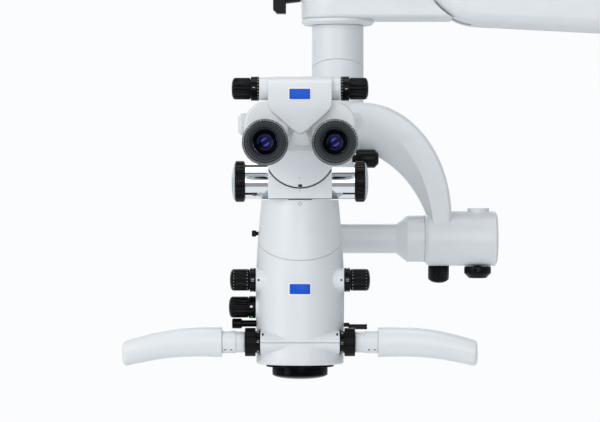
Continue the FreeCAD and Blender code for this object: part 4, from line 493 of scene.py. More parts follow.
def rounded(width: float, height: float, corner: float, steps: int = 6) -> Profile:
    """Draws a rectangle with round corners.

    Args:
        width: Its width, in millimetres.
        height: Its height.
        corner: Radius of the corners.
        steps: Steps to a corner.

    Returns:
        The points.
    """
    points = []
    for quarter, (x, y) in enumerate(((1, 1), (-1, 1), (-1, -1), (1, -1))):
        for step in range(steps + 1):
            turn = math.pi / 2 * (quarter + step / steps)
            points.append((x * (width / 2 - corner) + corner * math.cos(turn),
                           y * (height / 2 - corner) + corner * math.sin(turn)))
    return points


def eased(profile: Profile, radius: float, steps: int = 4) -> Profile:
    """Rounds the inner corners of a profile.

    Args:
        profile: Points, in millimetres.
        radius: How far from each corner the rounding starts, at most.
        steps: Points to a corner.

    Returns:
        The profile with each corner as a short curve.
    """
    soft = [profile[0]]
    for before, corner, after in zip(profile, profile[1:], profile[2:]):
        a, c, b = Vector(before), Vector(corner), Vector(after)
        start = c + (a - c).normalized() * min(radius, (a - c).length * 0.45)
        end = c + (b - c).normalized() * min(radius, (b - c).length * 0.45)
        for step in range(steps + 1):
            share = step / steps
            point = start * (1 - share) ** 2 + c * 2 * share * (1 - share) + end * share ** 2
            soft.append((point.x, point.y))
    soft.append(profile[-1])
    return soft


class Form:
    """A mesh that is shaped in millimetres about its own axis and then set down as a piece."""

    def __init__(self) -> None:
        """Starts with an empty mesh."""
        self.mesh = bmesh.new()

    def lathe(self, profile: Profile, steps: int = ROUND_STEPS) -> "Form":
        """Spins a profile of (radius, height) points about the local Z axis.

        Args:
            profile: The points, in millimetres; the ends may lie on the axis.
            steps: Facets to a turn.

        Returns:
            This form.
        """
        verts = [self.mesh.verts.new((radius, 0, height)) for radius, height in profile]
        edges = [self.mesh.edges.new(pair) for pair in zip(verts, verts[1:])]
        bmesh.ops.spin(self.mesh, geom=verts + edges, cent=(0, 0, 0), axis=UP, angle=FULL_TURN,
                       steps=steps, use_merge=True)
        bmesh.ops.remove_doubles(self.mesh, verts=self.mesh.verts, dist=1e-4)
        bmesh.ops.recalc_face_normals(self.mesh, faces=self.mesh.faces)
        return self

    def slab(self, points: Profile, depth: float, bevel: float = 0.0, segments: int = 3) -> "Form":
        """Raises an outline in the local XY plane along Z and eases its upper rim.

        Args:
            points: The outline, in millimetres.
            depth: Thickness, in millimetres.
            bevel: Size of the eased rim.
            segments: Steps of the easing.

        Returns:
            This form.
        """
        face = self.mesh.faces.new([self.mesh.verts.new((x, y, 0)) for x, y in points])
        raised = bmesh.ops.extrude_face_region(self.mesh, geom=[face])
        top = [item for item in raised["geom"] if isinstance(item, bmesh.types.BMVert)]
        bmesh.ops.translate(self.mesh, verts=top, vec=(0, 0, depth))
        if bevel:
            rim = [edge for edge in self.mesh.edges if all(v in top for v in edge.verts)]
            bmesh.ops.bevel(self.mesh, geom=rim, offset=bevel, offset_type="OFFSET",
                            segments=segments, profile=0.5, affect="EDGES", material=-1)
        bmesh.ops.recalc_face_normals(self.mesh, faces=self.mesh.faces)
        return self

    def block(self, size: tuple[float, float, float], at: tuple[float, float, float],
              turn: Matrix = Matrix.Identity(4)) -> "Form":
        """Adds a small box, turned about the local origin after it is moved.

        Args:
            size: Its three lengths, in millimetres.
            at: Its centre, in millimetres.
            turn: The turn applied last.

        Returns:
            This form.
        """
        place = turn @ Matrix.Translation(at) @ Matrix.Diagonal((*size, 1))
        bmesh.ops.create_cube(self.mesh, size=1, matrix=place)
        return self

    def each(self, change: Callable[[Vector], Vector]) -> "Form":
        """Moves every vertex by a rule.

        Args:
            change: Takes a point and returns the new one.

        Returns:
            This form.
        """
        for vert in self.mesh.verts:
            vert.co = change(vert.co)
        return self

    def around(self, size: tuple[float, float, float], radius: float, height: float,
               angles: list[float]) -> "Form":
        """Adds one small box at each angle round the local Z axis.

        Args:
            size: The box: outwards, along the circle and up.
            radius: Distance of its centre from the axis.
            height: Height of its centre.
            angles: The angles, in degrees.

        Returns:
            This form.
        """
        for angle in angles:
            self.block(size, (radius, 0, height), Matrix.Rotation(math.radians(angle), 4, "Z"))
        return self

    def sliced(self, low: float, high: float, count: int, along: Vector = RIGHT) -> "Form":
        """Cuts the faces into strips across a local axis, so that they can bend.

        Args:
            low: Where the first cut lies, in millimetres.
            high: Where the last cut lies.
            count: Number of strips between them.
            along: The axis that the strips follow each other on.

        Returns:
            This form.
        """
        for number in range(count + 1):
            whole = self.mesh.verts[:] + self.mesh.edges[:] + self.mesh.faces[:]
            place = along * (low + (high - low) * number / count)
            bmesh.ops.bisect_plane(self.mesh, geom=whole, plane_co=place, plane_no=along)
        return self

    def ribbed(self, count: int, depth: float, radius: float, low: float, high: float,
               width: float = 0.5) -> "Form":
        """Cuts grooves along a round belt.

        Args:
            count: Number of ribs.
            depth: Depth of a groove, in millimetres.
            radius: Radius of the belt.
            low: Where the grooves start.
            high: Where they end.
            width: Share of the belt that the grooves take.

        Returns:
            This form.
        """
        def cut(point: Vector) -> Vector:
            reach = math.hypot(point.x, point.y)
            if reach < radius - 0.05 or not low - 0.05 <= point.z <= high + 0.05:
                return point
            wave = 0.5 + 0.5 * math.cos(count * math.atan2(point.y, point.x))
            share = (reach - depth * min(1.0, max(0.0, (wave - 1 + width) / width))) / reach
            return Vector((point.x * share, point.y * share, point.z))

        return self.each(cut)

    def hug(self, name: str, finish: Finish, node: str, side: float, height: float,
            sink: float = 0.1) -> bpy.types.Object:
        """Lays the form, drawn flat in X and Y, on the face of a node that the user sees.

        Args:
            name: The piece's name.
            finish: Its finish.
            node: The node that carries it.
            side: Where its middle goes, in millimetres towards the user's right.
            height: Where its middle goes above the tilt axis.
            sink: How deep its back is let in, in millimetres.

        Returns:
            The new object.
        """
        skin = skin_of(node)
        for vert in self.mesh.verts:
            at, normal = skin.facing_user(side + vert.co.x, height + vert.co.y)
            vert.co = at + normal * (vert.co.z - sink) * MM
        bmesh.ops.recalc_face_normals(self.mesh, faces=self.mesh.faces)
        return finish_piece(self.mesh, name, finish, body_of(node))

    def set_down(self, name: str, finish: Finish, body: str, slot: str, at: Vector,
                 axis: Vector = UP, replaces: tuple[str, ...] = ()) -> bpy.types.Object:
        """Turns the form's Z axis to a direction, places it and makes it a piece.

        Args:
            name: The piece's name.
            finish: Its finish.
            body: The body that it moves with.
            slot: The record's material slot; not used.
            at: Where the local origin goes, in metres.
            axis: Where the local Z axis points.
            replaces: CAD nodes that it stands for.

        Returns:
            The new object.
        """
        turn = UP.rotation_difference(axis.normalized()).to_matrix().to_4x4()
        self.mesh.transform(Matrix.Translation(at) @ turn @ Matrix.Scale(MM, 4))
        return finish_piece(self.mesh, name, finish, body, replaces)


def finish_piece(mesh: bmesh.types.BMesh, name: str, finish: Finish, body: str,
                 replaces: tuple[str, ...] = ()) -> bpy.types.Object:
    """Turns a finished bmesh into a shaded object that rides on its body.

    Args:
        mesh: The bmesh, in metres and in place.
        name: The piece's name.
        finish: Its finish.
        body: The body that it moves with.
        replaces: CAD nodes that it stands for.

    Returns:
        The new object.
    """
    data = bpy.data.meshes.new(name)
    mesh.to_mesh(data)
    mesh.free()
    data.shade_smooth()
    data.set_sharp_from_angle(angle=SHARP_ANGLE)
    data.materials.append(finish.material())
    piece = bpy.data.objects.new(name, data)
    bpy.context.scene.collection.objects.link(piece)
    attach(piece, body)
    if replaces:
        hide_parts(*replaces)
    log.info("piece %s: %d faces on %s", name, len(data.polygons), body)
    return piece


class Skin:
    """The outer face of a CAD node, for setting small pieces on it."""

    def __init__(self, node: str) -> None:
        """Reads the node's mesh into a search tree.

        Args:
            node: The node's name.
        """
        shape = bmesh.new()
        shape.from_mesh(frame["nodes"][node].data)
        self.node = node
        self.tree = BVHTree.FromBMesh(shape)
        shape.free()

    def under(self, start: Vector, direction: Vector) -> tuple[Vector, Vector]:
        """Finds the face that a line meets.

        Args:
            start: A point outside the node, in metres.
            direction: The way that the line runs.

        Returns:
            The point on the face and the face's normal.
        """
        place, normal, _, _ = self.tree.ray_cast(start, direction)
        if place is None:
            raise ValueError(f"no face of {self.node} lies under {tuple(start)}")
        return place, normal

    def facing_user(self, side: float, height: float) -> tuple[Vector, Vector]:
        """Finds the face that the user sees at a place of the head.

        Args:
            side: Millimetres towards the user's right.
            height: Millimetres above the tilt axis.

        Returns:
            The point on the face and the face's normal.
        """
        return self.under(at_head(side, 400, height), -TO_USER)


@cache
def skin_of(node: str) -> Skin:
    """Reads a node's face once.

    Args:
        node: The node's name.

    Returns:
        Its skin.
    """
    return Skin(node)


@dataclass
class CadSkins:
    """Gives every CAD node its finish, and every one that shows a copy with eased edges."""

    edge: float = 0.35
    edges: dict[str, float] = field(default_factory=lambda: {
        "upper_cover": 0.15, "main_housing": 0.15, "base_housing": 0.15,
        "pendulum_base": 0.5, "hinge_barrel": 0.6, "end_block": 0.6, "column": 0.5})
    hidden: tuple[str, ...] = ("spindle_nut", "column_nut", "spring_cartridge", "tilt_bush",
                               "magnification_drum", "front_lens_cell", "main_beam", "lower_link",
                               "rear_pivot_pins", "front_pivot_pins")

    def build(self, skipped: set[str]) -> None:
        """Dresses all nodes.

        Args:
            skipped: Nodes that other pieces stand for.
        """
        for node, item in frame["nodes"].items():
            finish = SLOT_FINISH[slot_of(node)]
            item.data.materials.clear()
            item.data.materials.append(finish.material())
            if node not in skipped and node not in self.hidden:
                self.ease(node, finish)

    def ease(self, node: str, finish: Finish) -> None:
        """Copies a node, joins its loose triangles and eases its sharp edges.

        Args:
            node: The node's name.
            finish: Its finish.
        """
        shape = bmesh.new()
        shape.from_mesh(frame["nodes"][node].data)
        bmesh.ops.remove_doubles(shape, verts=shape.verts, dist=2e-6)
        bmesh.ops.dissolve_limit(shape, angle_limit=math.radians(0.4), verts=shape.verts,
                                 edges=shape.edges, use_dissolve_boundaries=False)
        piece = finish_piece(shape, node + "_skin", finish, body_of(node), (node,))
        bevel = piece.modifiers.new("eased_edges", "BEVEL")
        bevel.width = self.edges.get(node, self.edge) * MM
        bevel.segments = 2
        bevel.limit_method = "ANGLE"
        bevel.angle_limit = SHARP_ANGLE
        bevel.use_clamp_overlap = True
        bevel.harden_normals = False


@dataclass
class Eyepiece:
    """One eyepiece: dioptre ring with its scale, folded eyecup and the stack of its eye lens."""

    side: Side
    eye_side: float = 33.3
    eye_height: float = 93.7
    ring_start: float = 128.3
    ring_radius: float = 22.2
    ring_length: float = 18.7
    ring_bore: float = 13.75
    ribs: int = 60
    rib_depth: float = 0.4
    cup_start: float = 147.6
    cell_start: float = 140.0

    def build(self) -> set[str]:
        """Makes the whole eyepiece.

        Returns:
            The nodes that its pieces stand for.
        """
        word = self.side.word
        self.make_ring(word)
        self.make_scale(word)
        self.make_cup(word)
        self.make_cell(word)
        return {"dioptre_ring_" + word, "eyecup_" + word, "eye_lens_" + word}

    def at(self, forward: float) -> Vector:
        """A point on the eyepiece's axis.

        Args:
            forward: How far it lies before the head's axis, in millimetres.

        Returns:
            The point, in metres.
        """
        return at_head(self.eye_side * self.side.value, forward, self.eye_height)

    def make_ring(self, word: str) -> None:
        """Turns the dioptre ring and cuts its grip into ribs.

        Args:
            word: The side's name.
        """
        outer, top, bore = self.ring_radius, self.ring_length, self.ring_bore
        belt = (1.6, 12.4)
        profile = [(bore, 0), (outer - 0.8, 0), (outer, 0.7), (outer, belt[0]), (outer, belt[1]),
                   (outer, 13.4), (outer - 0.3, 13.9), (19.9, top), (19.3, top),
                   (19.2, top - 0.8), (18.7, top - 0.8), (18.6, top), (bore, top), (bore, 0)]
        form = Form().lathe(profile, steps=self.ribs * 4)
        form.ribbed(self.ribs, self.rib_depth, outer, *belt, width=1.0)
        form.set_down("dioptre_ring_detail_" + word, EYE_ANODISED, "dioptre_" + word, "black_metal",
                      self.at(self.ring_start), TO_USER, ("dioptre_ring_" + word,))
        # The grey band is partly the ring's satin grey and partly painted highlight, lighter all round to stand
        # for the light on the black bevel.
        band = [(22.0, 13.8), (20.05, 18.3), (20.1, 18.4), (22.06, 13.87), (22.0, 13.8)]
        Form().lathe(band, steps=128).set_down(
            "dioptre_scale_band_" + word, GREY_BAND_AND_PAINTED_HIGHLIGHT, "dioptre_" + word, "black_metal",
            self.at(self.ring_start), TO_USER)

    def make_scale(self, word: str) -> None:
        """Prints the dioptre scale on the ring's bevel, with a longer line every fifth step.

        Args:
            word: The side's name.
        """
        middle = 90 - 12 * self.side.value
        short = [middle + 7.5 * step for step in range(-13, 14) if step % 5]
        long = [middle + 7.5 * step for step in range(-10, 11, 5)]
        slope = Matrix.Rotation(math.radians(-23.5), 4, "Y")
        form = Form()
        for angles, length, width in ((short, 2.6, 0.3), (long, 4.2, 0.5)):
            for angle in angles:
                turn = Matrix.Rotation(math.radians(angle), 4, "Z")
                place = turn @ Matrix.Translation((21.12, 0, 16.1)) @ slope
                bmesh.ops.create_cube(form.mesh, size=1,
                                      matrix=place @ Matrix.Diagonal((0.24, width, length, 1)))
        form.set_down("dioptre_scale_" + word, PRINT_WHITE, "dioptre_" + word, "black_metal",
                      self.at(self.ring_start), TO_USER)

    def make_cup(self, word: str) -> None:
        """Moulds the eyecup: a bellows foot and a wide lip that is folded flat.

        Args:
            word: The side's name.
        """
        outside = eased([(12.5, 0), (18.6, 0), (18.9, 1.2), (17.9, 2.4), (18.9, 3.8), (18.7, 8.8),
                         (18.0, 10.7), (17.0, 11.0), (14.9, 10.85), (14.3, 10.5)], 0.6)
        inside = eased([(14.3, 10.5), (14.1, 9.7), (13.6, 9.4), (12.7, 8.6), (12.5, 7.4),
                        (12.5, 0)], 0.4)
        form = Form().lathe(outside + inside[1:], steps=128)
        form.set_down("eyecup_detail_" + word, RUBBER, "cup_" + word, "soft_rubber",
                      self.at(self.cup_start), TO_USER, ("eyecup_" + word,))
        lip = Form().lathe([(13.5, 9.5), (13.85, 9.95), (14.2, 9.9), (14.3, 9.4), (13.5, 9.5)],
                           steps=128)
        lip.set_down("eyecup_lip_" + word, EYE_ANODISED, "cup_" + word, "soft_rubber",
                     self.at(self.cup_start), TO_USER)

    def make_cell(self, word: str) -> None:
        """Stacks the eye lens: stepped black carrier, blue rim and glass whose colour carries painted reflections.

        Args:
            word: The side's name.
        """
        body, at = "eye_" + word, self.at(self.cell_start)
        carrier = [(0, 0), (11.5, 0), (11.5, 6.5), (11.1, 6.9), (10.5, 6.5), (9.5, 4.7),
                   (9.4, 4.2), (8.8, 3.8), (8.8, 2.6), (0, 2.6)]
        Form().lathe(carrier).set_down("lens_carrier_" + word, BAFFLE, body, "coated_glass", at,
                                       TO_USER, ("eye_lens_" + word,))
        rim = [(10.35, 6.42), (10.6, 6.7), (11.0, 6.95), (11.15, 6.9), (10.5, 6.3), (10.35, 6.42)]
        Form().lathe(rim).set_down("lens_rim_" + word, BLUE_RIM, body, "coated_glass", at, TO_USER)
        bowl = 8.8
        dome = [(bowl * step / 8, 3.2 + 0.9 * (1 - (step / 8) ** 2)) for step in range(9)]
        glass = [(0, 2.7), (bowl, 2.7)] + dome[::-1]
        middle = self.at(self.cell_start)
        # The glass's colour is painted reflection: a violet glow, a dark slanting band and grey rings.
        coating = EyeLensCoating("violet_eye_lens_" + word, "#020206", "#5C62E6", 0.08, ior=1.7,
                                 middle=(middle.x, middle.z))
        Form().lathe(glass).set_down("lens_glass_" + word, coating, body, "coated_glass", at,
                                     TO_USER)


@dataclass(frozen=True)
class Knob:
    """A nylon knob: a smooth dial collar, a ribbed grip and a crowned end."""

    name: str
    node: str
    body: str
    side: Side
    forward: float
    height: float
    start: float
    collar_radius: float
    collar_end: float
    grip_radius: float
    end: float
    ribs: int = 20
    depth: float = 0.75
    crown: float = 2.3

    def build(self, replaces: bool) -> None:
        """Turns the knob and cuts its ribs.

        Args:
            replaces: Whether this knob stands for its node.
        """
        collar, grip = self.collar_radius, self.grip_radius
        length, total = self.collar_end - self.start, self.end - self.start
        low, high = length + 1.3, total - self.crown - 0.9
        profile = [(0, 0), (collar - 0.4, 0), (collar, 0.4), (collar, length - 0.5),
                   (collar - 0.5, length), (grip - 0.9, length + 0.1), (grip - 0.9, length + 0.6),
                   (grip - 0.3, low - 0.4), (grip, low), (grip, high), (grip - 0.35, high + 0.7),
                   (grip - 1.3, total - self.crown * 0.62), (grip * 0.62, total - 0.45),
                   (grip * 0.3, total - 0.06), (0, total)]
        form = Form().lathe(profile, steps=self.ribs * 8)
        form.ribbed(self.ribs, self.depth, grip, low, high, width=0.62)
        at = at_head(self.start * self.side.value, self.forward, self.height)
        form.set_down(self.name, NYLON, self.body, "black_plastic", at, self.side.outward,
                      (self.node,) if replaces else ())


@dataclass
class Knobs:
    """The eye distance, magnification and filter knobs, and the cradle's two clamping wheels."""

    wheel_start: float = 55.1
    wheel_radius: float = 20.6
    wheel_width: float = 9.9
    wheel_total: float = 13.2
    wheel_ribs: int = 30

    def build(self) -> set[str]:
        """Makes them all.

        Returns:
            The nodes that they stand for.
        """
        for side in Side:
            first = side is Side.LEFT
            Knob("distance_knob_" + side.word, "pd_knobs", "pd_control", side, 100, 146.4, 39.4,
                 11.75, 47.6, 10.6, 66.2, ribs=18, depth=1.0).build(first)
            Knob("magnification_knob_" + side.word, "magnification_knobs", "magnification_control",
                 side, 19, -40.3, 43.9, 11.9, 49.8, 10.8, 69.6).build(first)
            self.wheel(side, first)
        Knob("filter_knob_detail", "filter_knob", "filter_control", Side.LEFT, 4, -67.8, 44.2,
             11.2, 51.1, 10.6, 71.0).build(True)
        return {"pd_knobs", "magnification_knobs", "filter_knob", "tilt_knobs"}

    def wheel(self, side: Side, replaces: bool) -> None:
        """Makes one clamping wheel with its pale crowned cap.

        Args:
            side: Which wheel.
            replaces: Whether it stands for the node of both wheels.
        """
        radius, width = self.wheel_radius, self.wheel_width
        at = at_head(self.wheel_start * side.value, 0, 57.7)
        profile = [(0, 0), (radius - 1.4, 0), (radius, 1.2), (radius, width - 1.3),
                   (radius - 1.1, width - 0.2), (radius - 1.5, width), (radius - 1.8, width - 0.4),
                   (0, width - 0.4)]
        form = Form().lathe(profile, steps=self.wheel_ribs * 8)
        form.ribbed(self.wheel_ribs, 0.75, radius, 1.2, width - 1.3, width=0.45)
        form.set_down("clamping_wheel_" + side.word, NYLON, "cradle_clamp", "black_plastic", at,
                      side.outward, ("tilt_knobs",) if replaces else ())
        rim, steps = radius - 1.9, 10
        rise = self.wheel_total - width
        dome = [(rim * math.cos(math.pi / 2 * step / steps),
                 width + rise * math.sin(math.pi / 2 * step / steps)) for step in range(steps + 1)]
        cap = [(0, width - 0.4), (rim, width - 0.4)] + dome
        Form().lathe(cap, steps=128).set_down("wheel_cap_" + side.word, CAP_ENAMEL, "cradle_clamp",
                                              "black_plastic", at, side.outward)


@dataclass
class FrontPlate:
    """The home-plate cover between the eyepieces, with its top rolled over the sleeve."""

    half_width: float = 31.0
    top: float = 158.2
    middle: float = 146.4
    back: float = 112.3
    thickness: float = 4.7
    sleeve_forward: float = 100.0

    def build(self) -> set[str]:
        """Makes the cover and the thin shield under its tip.

        Returns:
            The node that they stand for.
        """
        wide = self.half_width
        right = [(wide, self.top), (wide, 128.6), (27.0, 123.2), (5.9, 104.7)]
        left = [(-x, y) for x, y in right[::-1]]
        outline = eased(right + [(0, 101.8)] + left, 5.0, 6)
        form = Form().slab(outline[::-1], self.thickness, 1.3, 4)
        form.sliced(self.middle, self.top - 0.05, 22, UP.yzx)
        form.each(self.rolled)
        form.set_down("front_plate_detail", ENAMEL, "bridge", "white_enamel", at_head(0, 0, 0),
                      TO_USER, ("front_plate",))
        shield = Form().slab([(-4.5, 109.2), (-10.6, 91.6), (10.6, 91.6), (4.5, 109.2)], 1.5, 0.3)
        shield.set_down("front_shield", ENAMEL, "bridge", "white_enamel",
                        at_head(0, self.back, 0), TO_USER)
        return {"front_plate"}

    def rolled(self, point: Vector) -> Vector:
        """Rolls the part above the sleeve's middle back over the sleeve.

        Args:
            point: Side, height and distance from the plate's back.

        Returns:
            Side, height and forward place.
        """
        rise = max(0.0, point.y - self.middle)
        over = self.top - self.middle
        inner = self.back - self.sleeve_forward
        outer = inner + self.thickness
        back = self.sleeve_forward + inner * math.sqrt(1 - (rise / (over + 0.3)) ** 2)
        front = self.sleeve_forward + outer * math.sqrt(1 - (rise / (over + 0.15)) ** 2)
        share = point.z / self.thickness
        return Vector((point.x, point.y, back + (front - back) * share))


@dataclass
class Dials:
    """The scales, dots and index lines on the turning collars, and painted highlights at the ends of the
    magnification grips' ribs.
    """

    gap: float = 0.12

    def build(self) -> None:
        """Prints every dial."""
        for side in Side:
            self.distance_dial(side)
            self.magnification_dial(side)
            self.focus_dial(side)
        self.filter_dial()

    def ring(self, name: str, body: str, at: Vector, axis: Vector, radius: float,
             angles: list[float], size: tuple[float, float, float]) -> None:
        """Prints a row of marks round a collar.

        Args:
            name: The piece's name.
            body: The body that it turns with.
            at: A point on the axis, level with the marks.
            axis: The collar's axis.
            radius: The collar's radius, in millimetres.
            angles: Where the marks stand, in degrees.
            size: One mark: thickness, width round the collar and length along the axis.
        """
        form = Form().around(size, radius + self.gap - size[0] / 2, 0, angles)
        form.set_down(name, PRINT_WHITE, body, "black_plastic", at, axis)

    def distance_dial(self, side: Side) -> None:
        """Dots along the inner edge of the eye distance dial, and one bold index.

        Args:
            side: Which side.
        """
        radius, start, height, forward = 11.75, 40.4, 146.4, 100
        at = at_head(start * side.value, forward, height)
        dots = [270 + 15 * step for step in range(-11, 12)]
        self.ring(f"distance_dots_{side.word}", "pd_control", at, side.outward, radius, dots,
                  (0.3, 0.6, 0.6))
        at = at_head((start + 4.2) * side.value, forward, height)
        self.ring(f"distance_index_{side.word}", "pd_control", at, side.outward, radius, [273],
                  (0.3, 0.5, 2.2))

    def magnification_dial(self, side: Side) -> None:
        """Paired lines for each of five magnifications, and white dots of painted highlight at both ends of the
        grip's ribs.

        Args:
            side: Which side.
        """
        radius, start, height, forward = 11.9, 47.0, -40.3, 19
        at = at_head(start * side.value, forward, height)
        lines = [270 + 72 * step + turn for step in range(5) for turn in (-4.4, 4.4)]
        self.ring(f"magnification_lines_{side.word}", "magnification_control", at, side.outward,
                  radius, lines, (0.3, 0.38, 3.0))
        # These white dots are painted highlights: the glints at the ends of the grip's ribs.
        dots = [270 + 18 * step + 9 for step in range(20)]
        for word, place, size in (("inner", 52.4, 0.55), ("outer", 65.6, 0.4)):
            at = at_head(place * side.value, forward, height)
            self.ring(f"magnification_dots_{word}_{side.word}", "magnification_control", at,
                      side.outward, 10.8, dots, (0.3, size, size))

    def focus_dial(self, side: Side) -> None:
        """Paired lines round the focus collar, every 60 degrees.

        Args:
            side: Which side.
        """
        radius, start, height, forward = 10.9, 41.7, -102.1, 19
        at = at_head(start * side.value, forward, height)
        lines = [274 + 60 * step + turn for step in range(6) for turn in (-4.0, 4.0)]
        self.ring(f"focus_lines_{side.word}", "focus_control", at, side.outward, radius, lines,
                  (0.3, 0.4, 2.2))

    def filter_dial(self) -> None:
        """A white dot for clear and a green one for the filter."""
        radius, start, height, forward = 11.2, 48.4, -67.8, 4
        at = at_head(-start, forward, height)
        for name, angle, finish in (("clear", 274, PRINT_WHITE), ("green", 209, PRINT_GREEN),
                                    ("dim", 144, PRINT_GREY)):
            form = Form().slab(circle(1.25), 0.3, 0.08)
            form.each(lambda point: Vector((radius - 0.14 + point.z, point.y, point.x)))
            bmesh.ops.recalc_face_normals(form.mesh, faces=form.mesh.faces)
            form.mesh.transform(Matrix.Rotation(math.radians(angle), 4, "Z"))
            form.set_down("filter_dot_" + name, finish, "filter_control", "black_plastic", at,
                          -RIGHT)


@dataclass(frozen=True)
class Mark:
    """A small printed mark on a face that the user sees, in millimetres on the head."""

    name: str
    node: str
    side: float
    height: float
    outline: tuple[Point, ...]
    finish: Finish
    rise: float = 0.12

    def build(self) -> None:
        """Lays the mark on its node."""
        Form().slab(list(self.outline), self.rise + 0.1, 0.05).hug(
            self.name, self.finish, self.node, self.side, self.height)


@dataclass
class HousingMarks:
    """Index lines, dots and reference marks on the fixed housings."""

    def build(self) -> None:
        """Prints them all."""
        dot, dash = tuple(circle(1.15)), tuple(rounded(2.0, 0.6, 0.25, 3))
        notch = tuple(rounded(3.9, 2.4, 0.5, 3))
        marks = [Mark("swing_index", "pendulum_base", 0.2, 53.2, notch, PRINT_BLACK, 0.3),
                 Mark("swing_scale_upper", "pendulum_base", -0.3, 60.6, dash, PRINT_GREY),
                 Mark("swing_scale_lower", "cradle", -0.2, 48.2, dash, PRINT_GREY)]
        for side in Side:
            marks.append(Mark(f"magnification_index_{side.word}", "main_housing",
                              41.0 * side.value, -40.2, dot, PRINT_BLACK))
            marks.append(Mark(f"focus_index_{side.word}", "main_housing", 36.7 * side.value, -93.9,
                              dot, PRINT_BLACK))
        for mark in marks:
            mark.build()


@dataclass
class BlankPlates:
    """The two blue lacquered plates with cream borders; both stay blank."""

    width: float = 22.4
    height: float = 12.3
    border: float = 1.15
    corner: float = 1.2
    thickness: float = 0.45

    def build(self) -> None:
        """Makes both plates."""
        self.plate("upper_plate", "front_plate", -0.2, 140.6)
        self.plate("lower_plate", "main_housing", -0.1, -48.8)

    def plate(self, name: str, node: str, side: float, height: float) -> None:
        """Bends one plate onto its node.

        Args:
            name: The plate's name.
            node: The node that carries it.
            side: Its middle, in millimetres towards the user's right.
            height: Its middle above the tilt axis.
        """
        inner_width, inner_height = self.width - 2 * self.border, self.height - 2 * self.border
        strips, reach = 14, 0.45
        border = Form().slab(rounded(self.width, self.height, self.corner), self.thickness, 0.2)
        border.sliced(-self.width * reach, self.width * reach, strips)
        border.hug(name + "_border", PLATE_EDGE, node, side, height)
        field = Form().slab(rounded(inner_width, inner_height, self.corner * 0.7),
                            self.thickness + 0.12, 0.06)
        field.sliced(-inner_width * reach, inner_width * reach, strips)
        field.hug(name + "_field", PLATE_BLUE, node, side, height)


@dataclass(frozen=True)
class SocketScrew:
    """A cap screw with a hexagon socket, let into what it holds."""

    radius: float = 2.0
    rise: float = 0.9
    finish: Finish = BARE_STEEL

    def drive(self, name: str, node: str, at: Vector, axis: Vector) -> None:
        """Screws it home.

        Args:
            name: The screw's name.
            node: The node that it holds.
            at: The point on the node's face, in metres.
            axis: The way that its head faces.
        """
        key, top, deep = self.radius * 0.55, self.rise, self.rise - 0.8 * self.radius
        profile = [(0, deep), (key, deep), (key, top - 0.12), (key + 0.12, top),
                   (self.radius - 0.25, top), (self.radius, top - 0.25),
                   (self.radius, deep - 0.4), (0, deep - 0.4)]

        def hexagon(point: Vector) -> Vector:
            radius = math.hypot(point.x, point.y)
            if radius > key + 0.01 or radius < 0.01:
                return point
            turn = math.atan2(point.y, point.x) % math.radians(60) - math.radians(30)
            share = math.cos(math.radians(30)) / math.cos(turn)
            return Vector((point.x * share, point.y * share, point.z))

        Form().lathe(profile, steps=48).each(hexagon).set_down(
            name, self.finish, body_of(node), slot_of(node), at, axis)


@dataclass
class Fasteners:
    """The screws that hold the housings, seen at the front, the back and under the arm."""

    def build(self) -> None:
        """Sets every screw."""
        self.cover_screw()
        self.bracket_screws()
        self.neck_screws()
        self.arm_screws()
        self.flange_screws()
        self.cap_screws()

    def cover_screw(self) -> None:
        """One sunk set screw in the middle of the upper cover."""
        at, normal = skin_of("upper_cover").facing_user(-0.3, 35.4)
        SocketScrew(2.1, 0.12).drive("cover_set_screw", "upper_cover", at, normal)

    def bracket_screws(self) -> None:
        """Four black cap screws in the back of the rear bracket."""
        screw = SocketScrew(3.4, 1.6, ANODISED)
        for side in Side:
            for word, height in (("upper", 14.0), ("lower", -14.0)):
                start = at_head(22.0 * side.value, -400, height)
                at, normal = skin_of("rear_bracket").under(start, TO_USER)
                screw.drive(f"bracket_screw_{word}_{side.word}", "rear_bracket", at, normal)

    def neck_screws(self) -> None:
        """Two grub screws under the front of each grip socket."""
        for side in Side:
            for number, reach in enumerate((68.2, 74.0), start=1):
                at, normal = skin_of("handle_necks").facing_user(reach * side.value, -109.4)
                SocketScrew(1.0, 0.25, ANODISED).drive(f"socket_screw_{side.word}_{number}",
                                                        "handle_necks", at, normal)

    def arm_screws(self) -> None:
        """Sunk screws along the spring arm's covers and a cap over each end of its pivots."""
        arm_length, inset, level = 430.0, 62.0, 0.1635
        front = joint_point("end_level")
        for node, way in (("arm_cover_near", -TO_USER), ("arm_cover_far", TO_USER)):
            outside = -way * 0.3
            for number, reach in enumerate((inset, arm_length / 2, arm_length - inset), start=1):
                start = Vector((front.x + reach * MM, 0, level)) + outside
                at, normal = skin_of(node).under(start, way)
                SocketScrew(2.6, 0.15, PAINTED_SCREW).drive(f"{node}_screw_{number}", node, at, normal)
            for word, joint in (("front", "end_level"), ("rear", "arm_lift")):
                start = joint_point(joint) + outside
                at, normal = skin_of(node).under(start, way)
                dome = [(0, 1.25), (5.0, 1.15), (8.2, 0.8), (9.0, 0.3), (9.0, -0.5), (0, -0.5)]
                Form().lathe(eased(dome, 0.6)).set_down(f"{node}_pivot_cap_{word}", SHELL,
                                                        body_of(node), "white_shell", at, normal)

    def flange_screws(self) -> None:
        """Three cap screws round the stand spindle's flange, from below."""
        for number in range(3):
            turn = math.radians(90 + 120 * number)
            start = Vector((25.5 * math.cos(turn), 25.5 * math.sin(turn), -300)) * MM
            at, normal = skin_of("stand_spindle").under(start, UP)
            SocketScrew(2.8, 0.3).drive(f"flange_screw_{number + 1}", "stand_spindle", at, normal)

    def cap_screws(self) -> None:
        """One sunk screw in the middle of each block's cap."""
        for node, joint in (("rear_block_cap", "arm_swivel"), ("end_block_cap", "column_swivel")):
            place = joint_point(joint)
            at, normal = skin_of(node).under(Vector((place.x, place.y, place.z + 0.6)), -UP)
            SocketScrew(3.2, 0.15).drive(node + "_screw", node, at, normal)


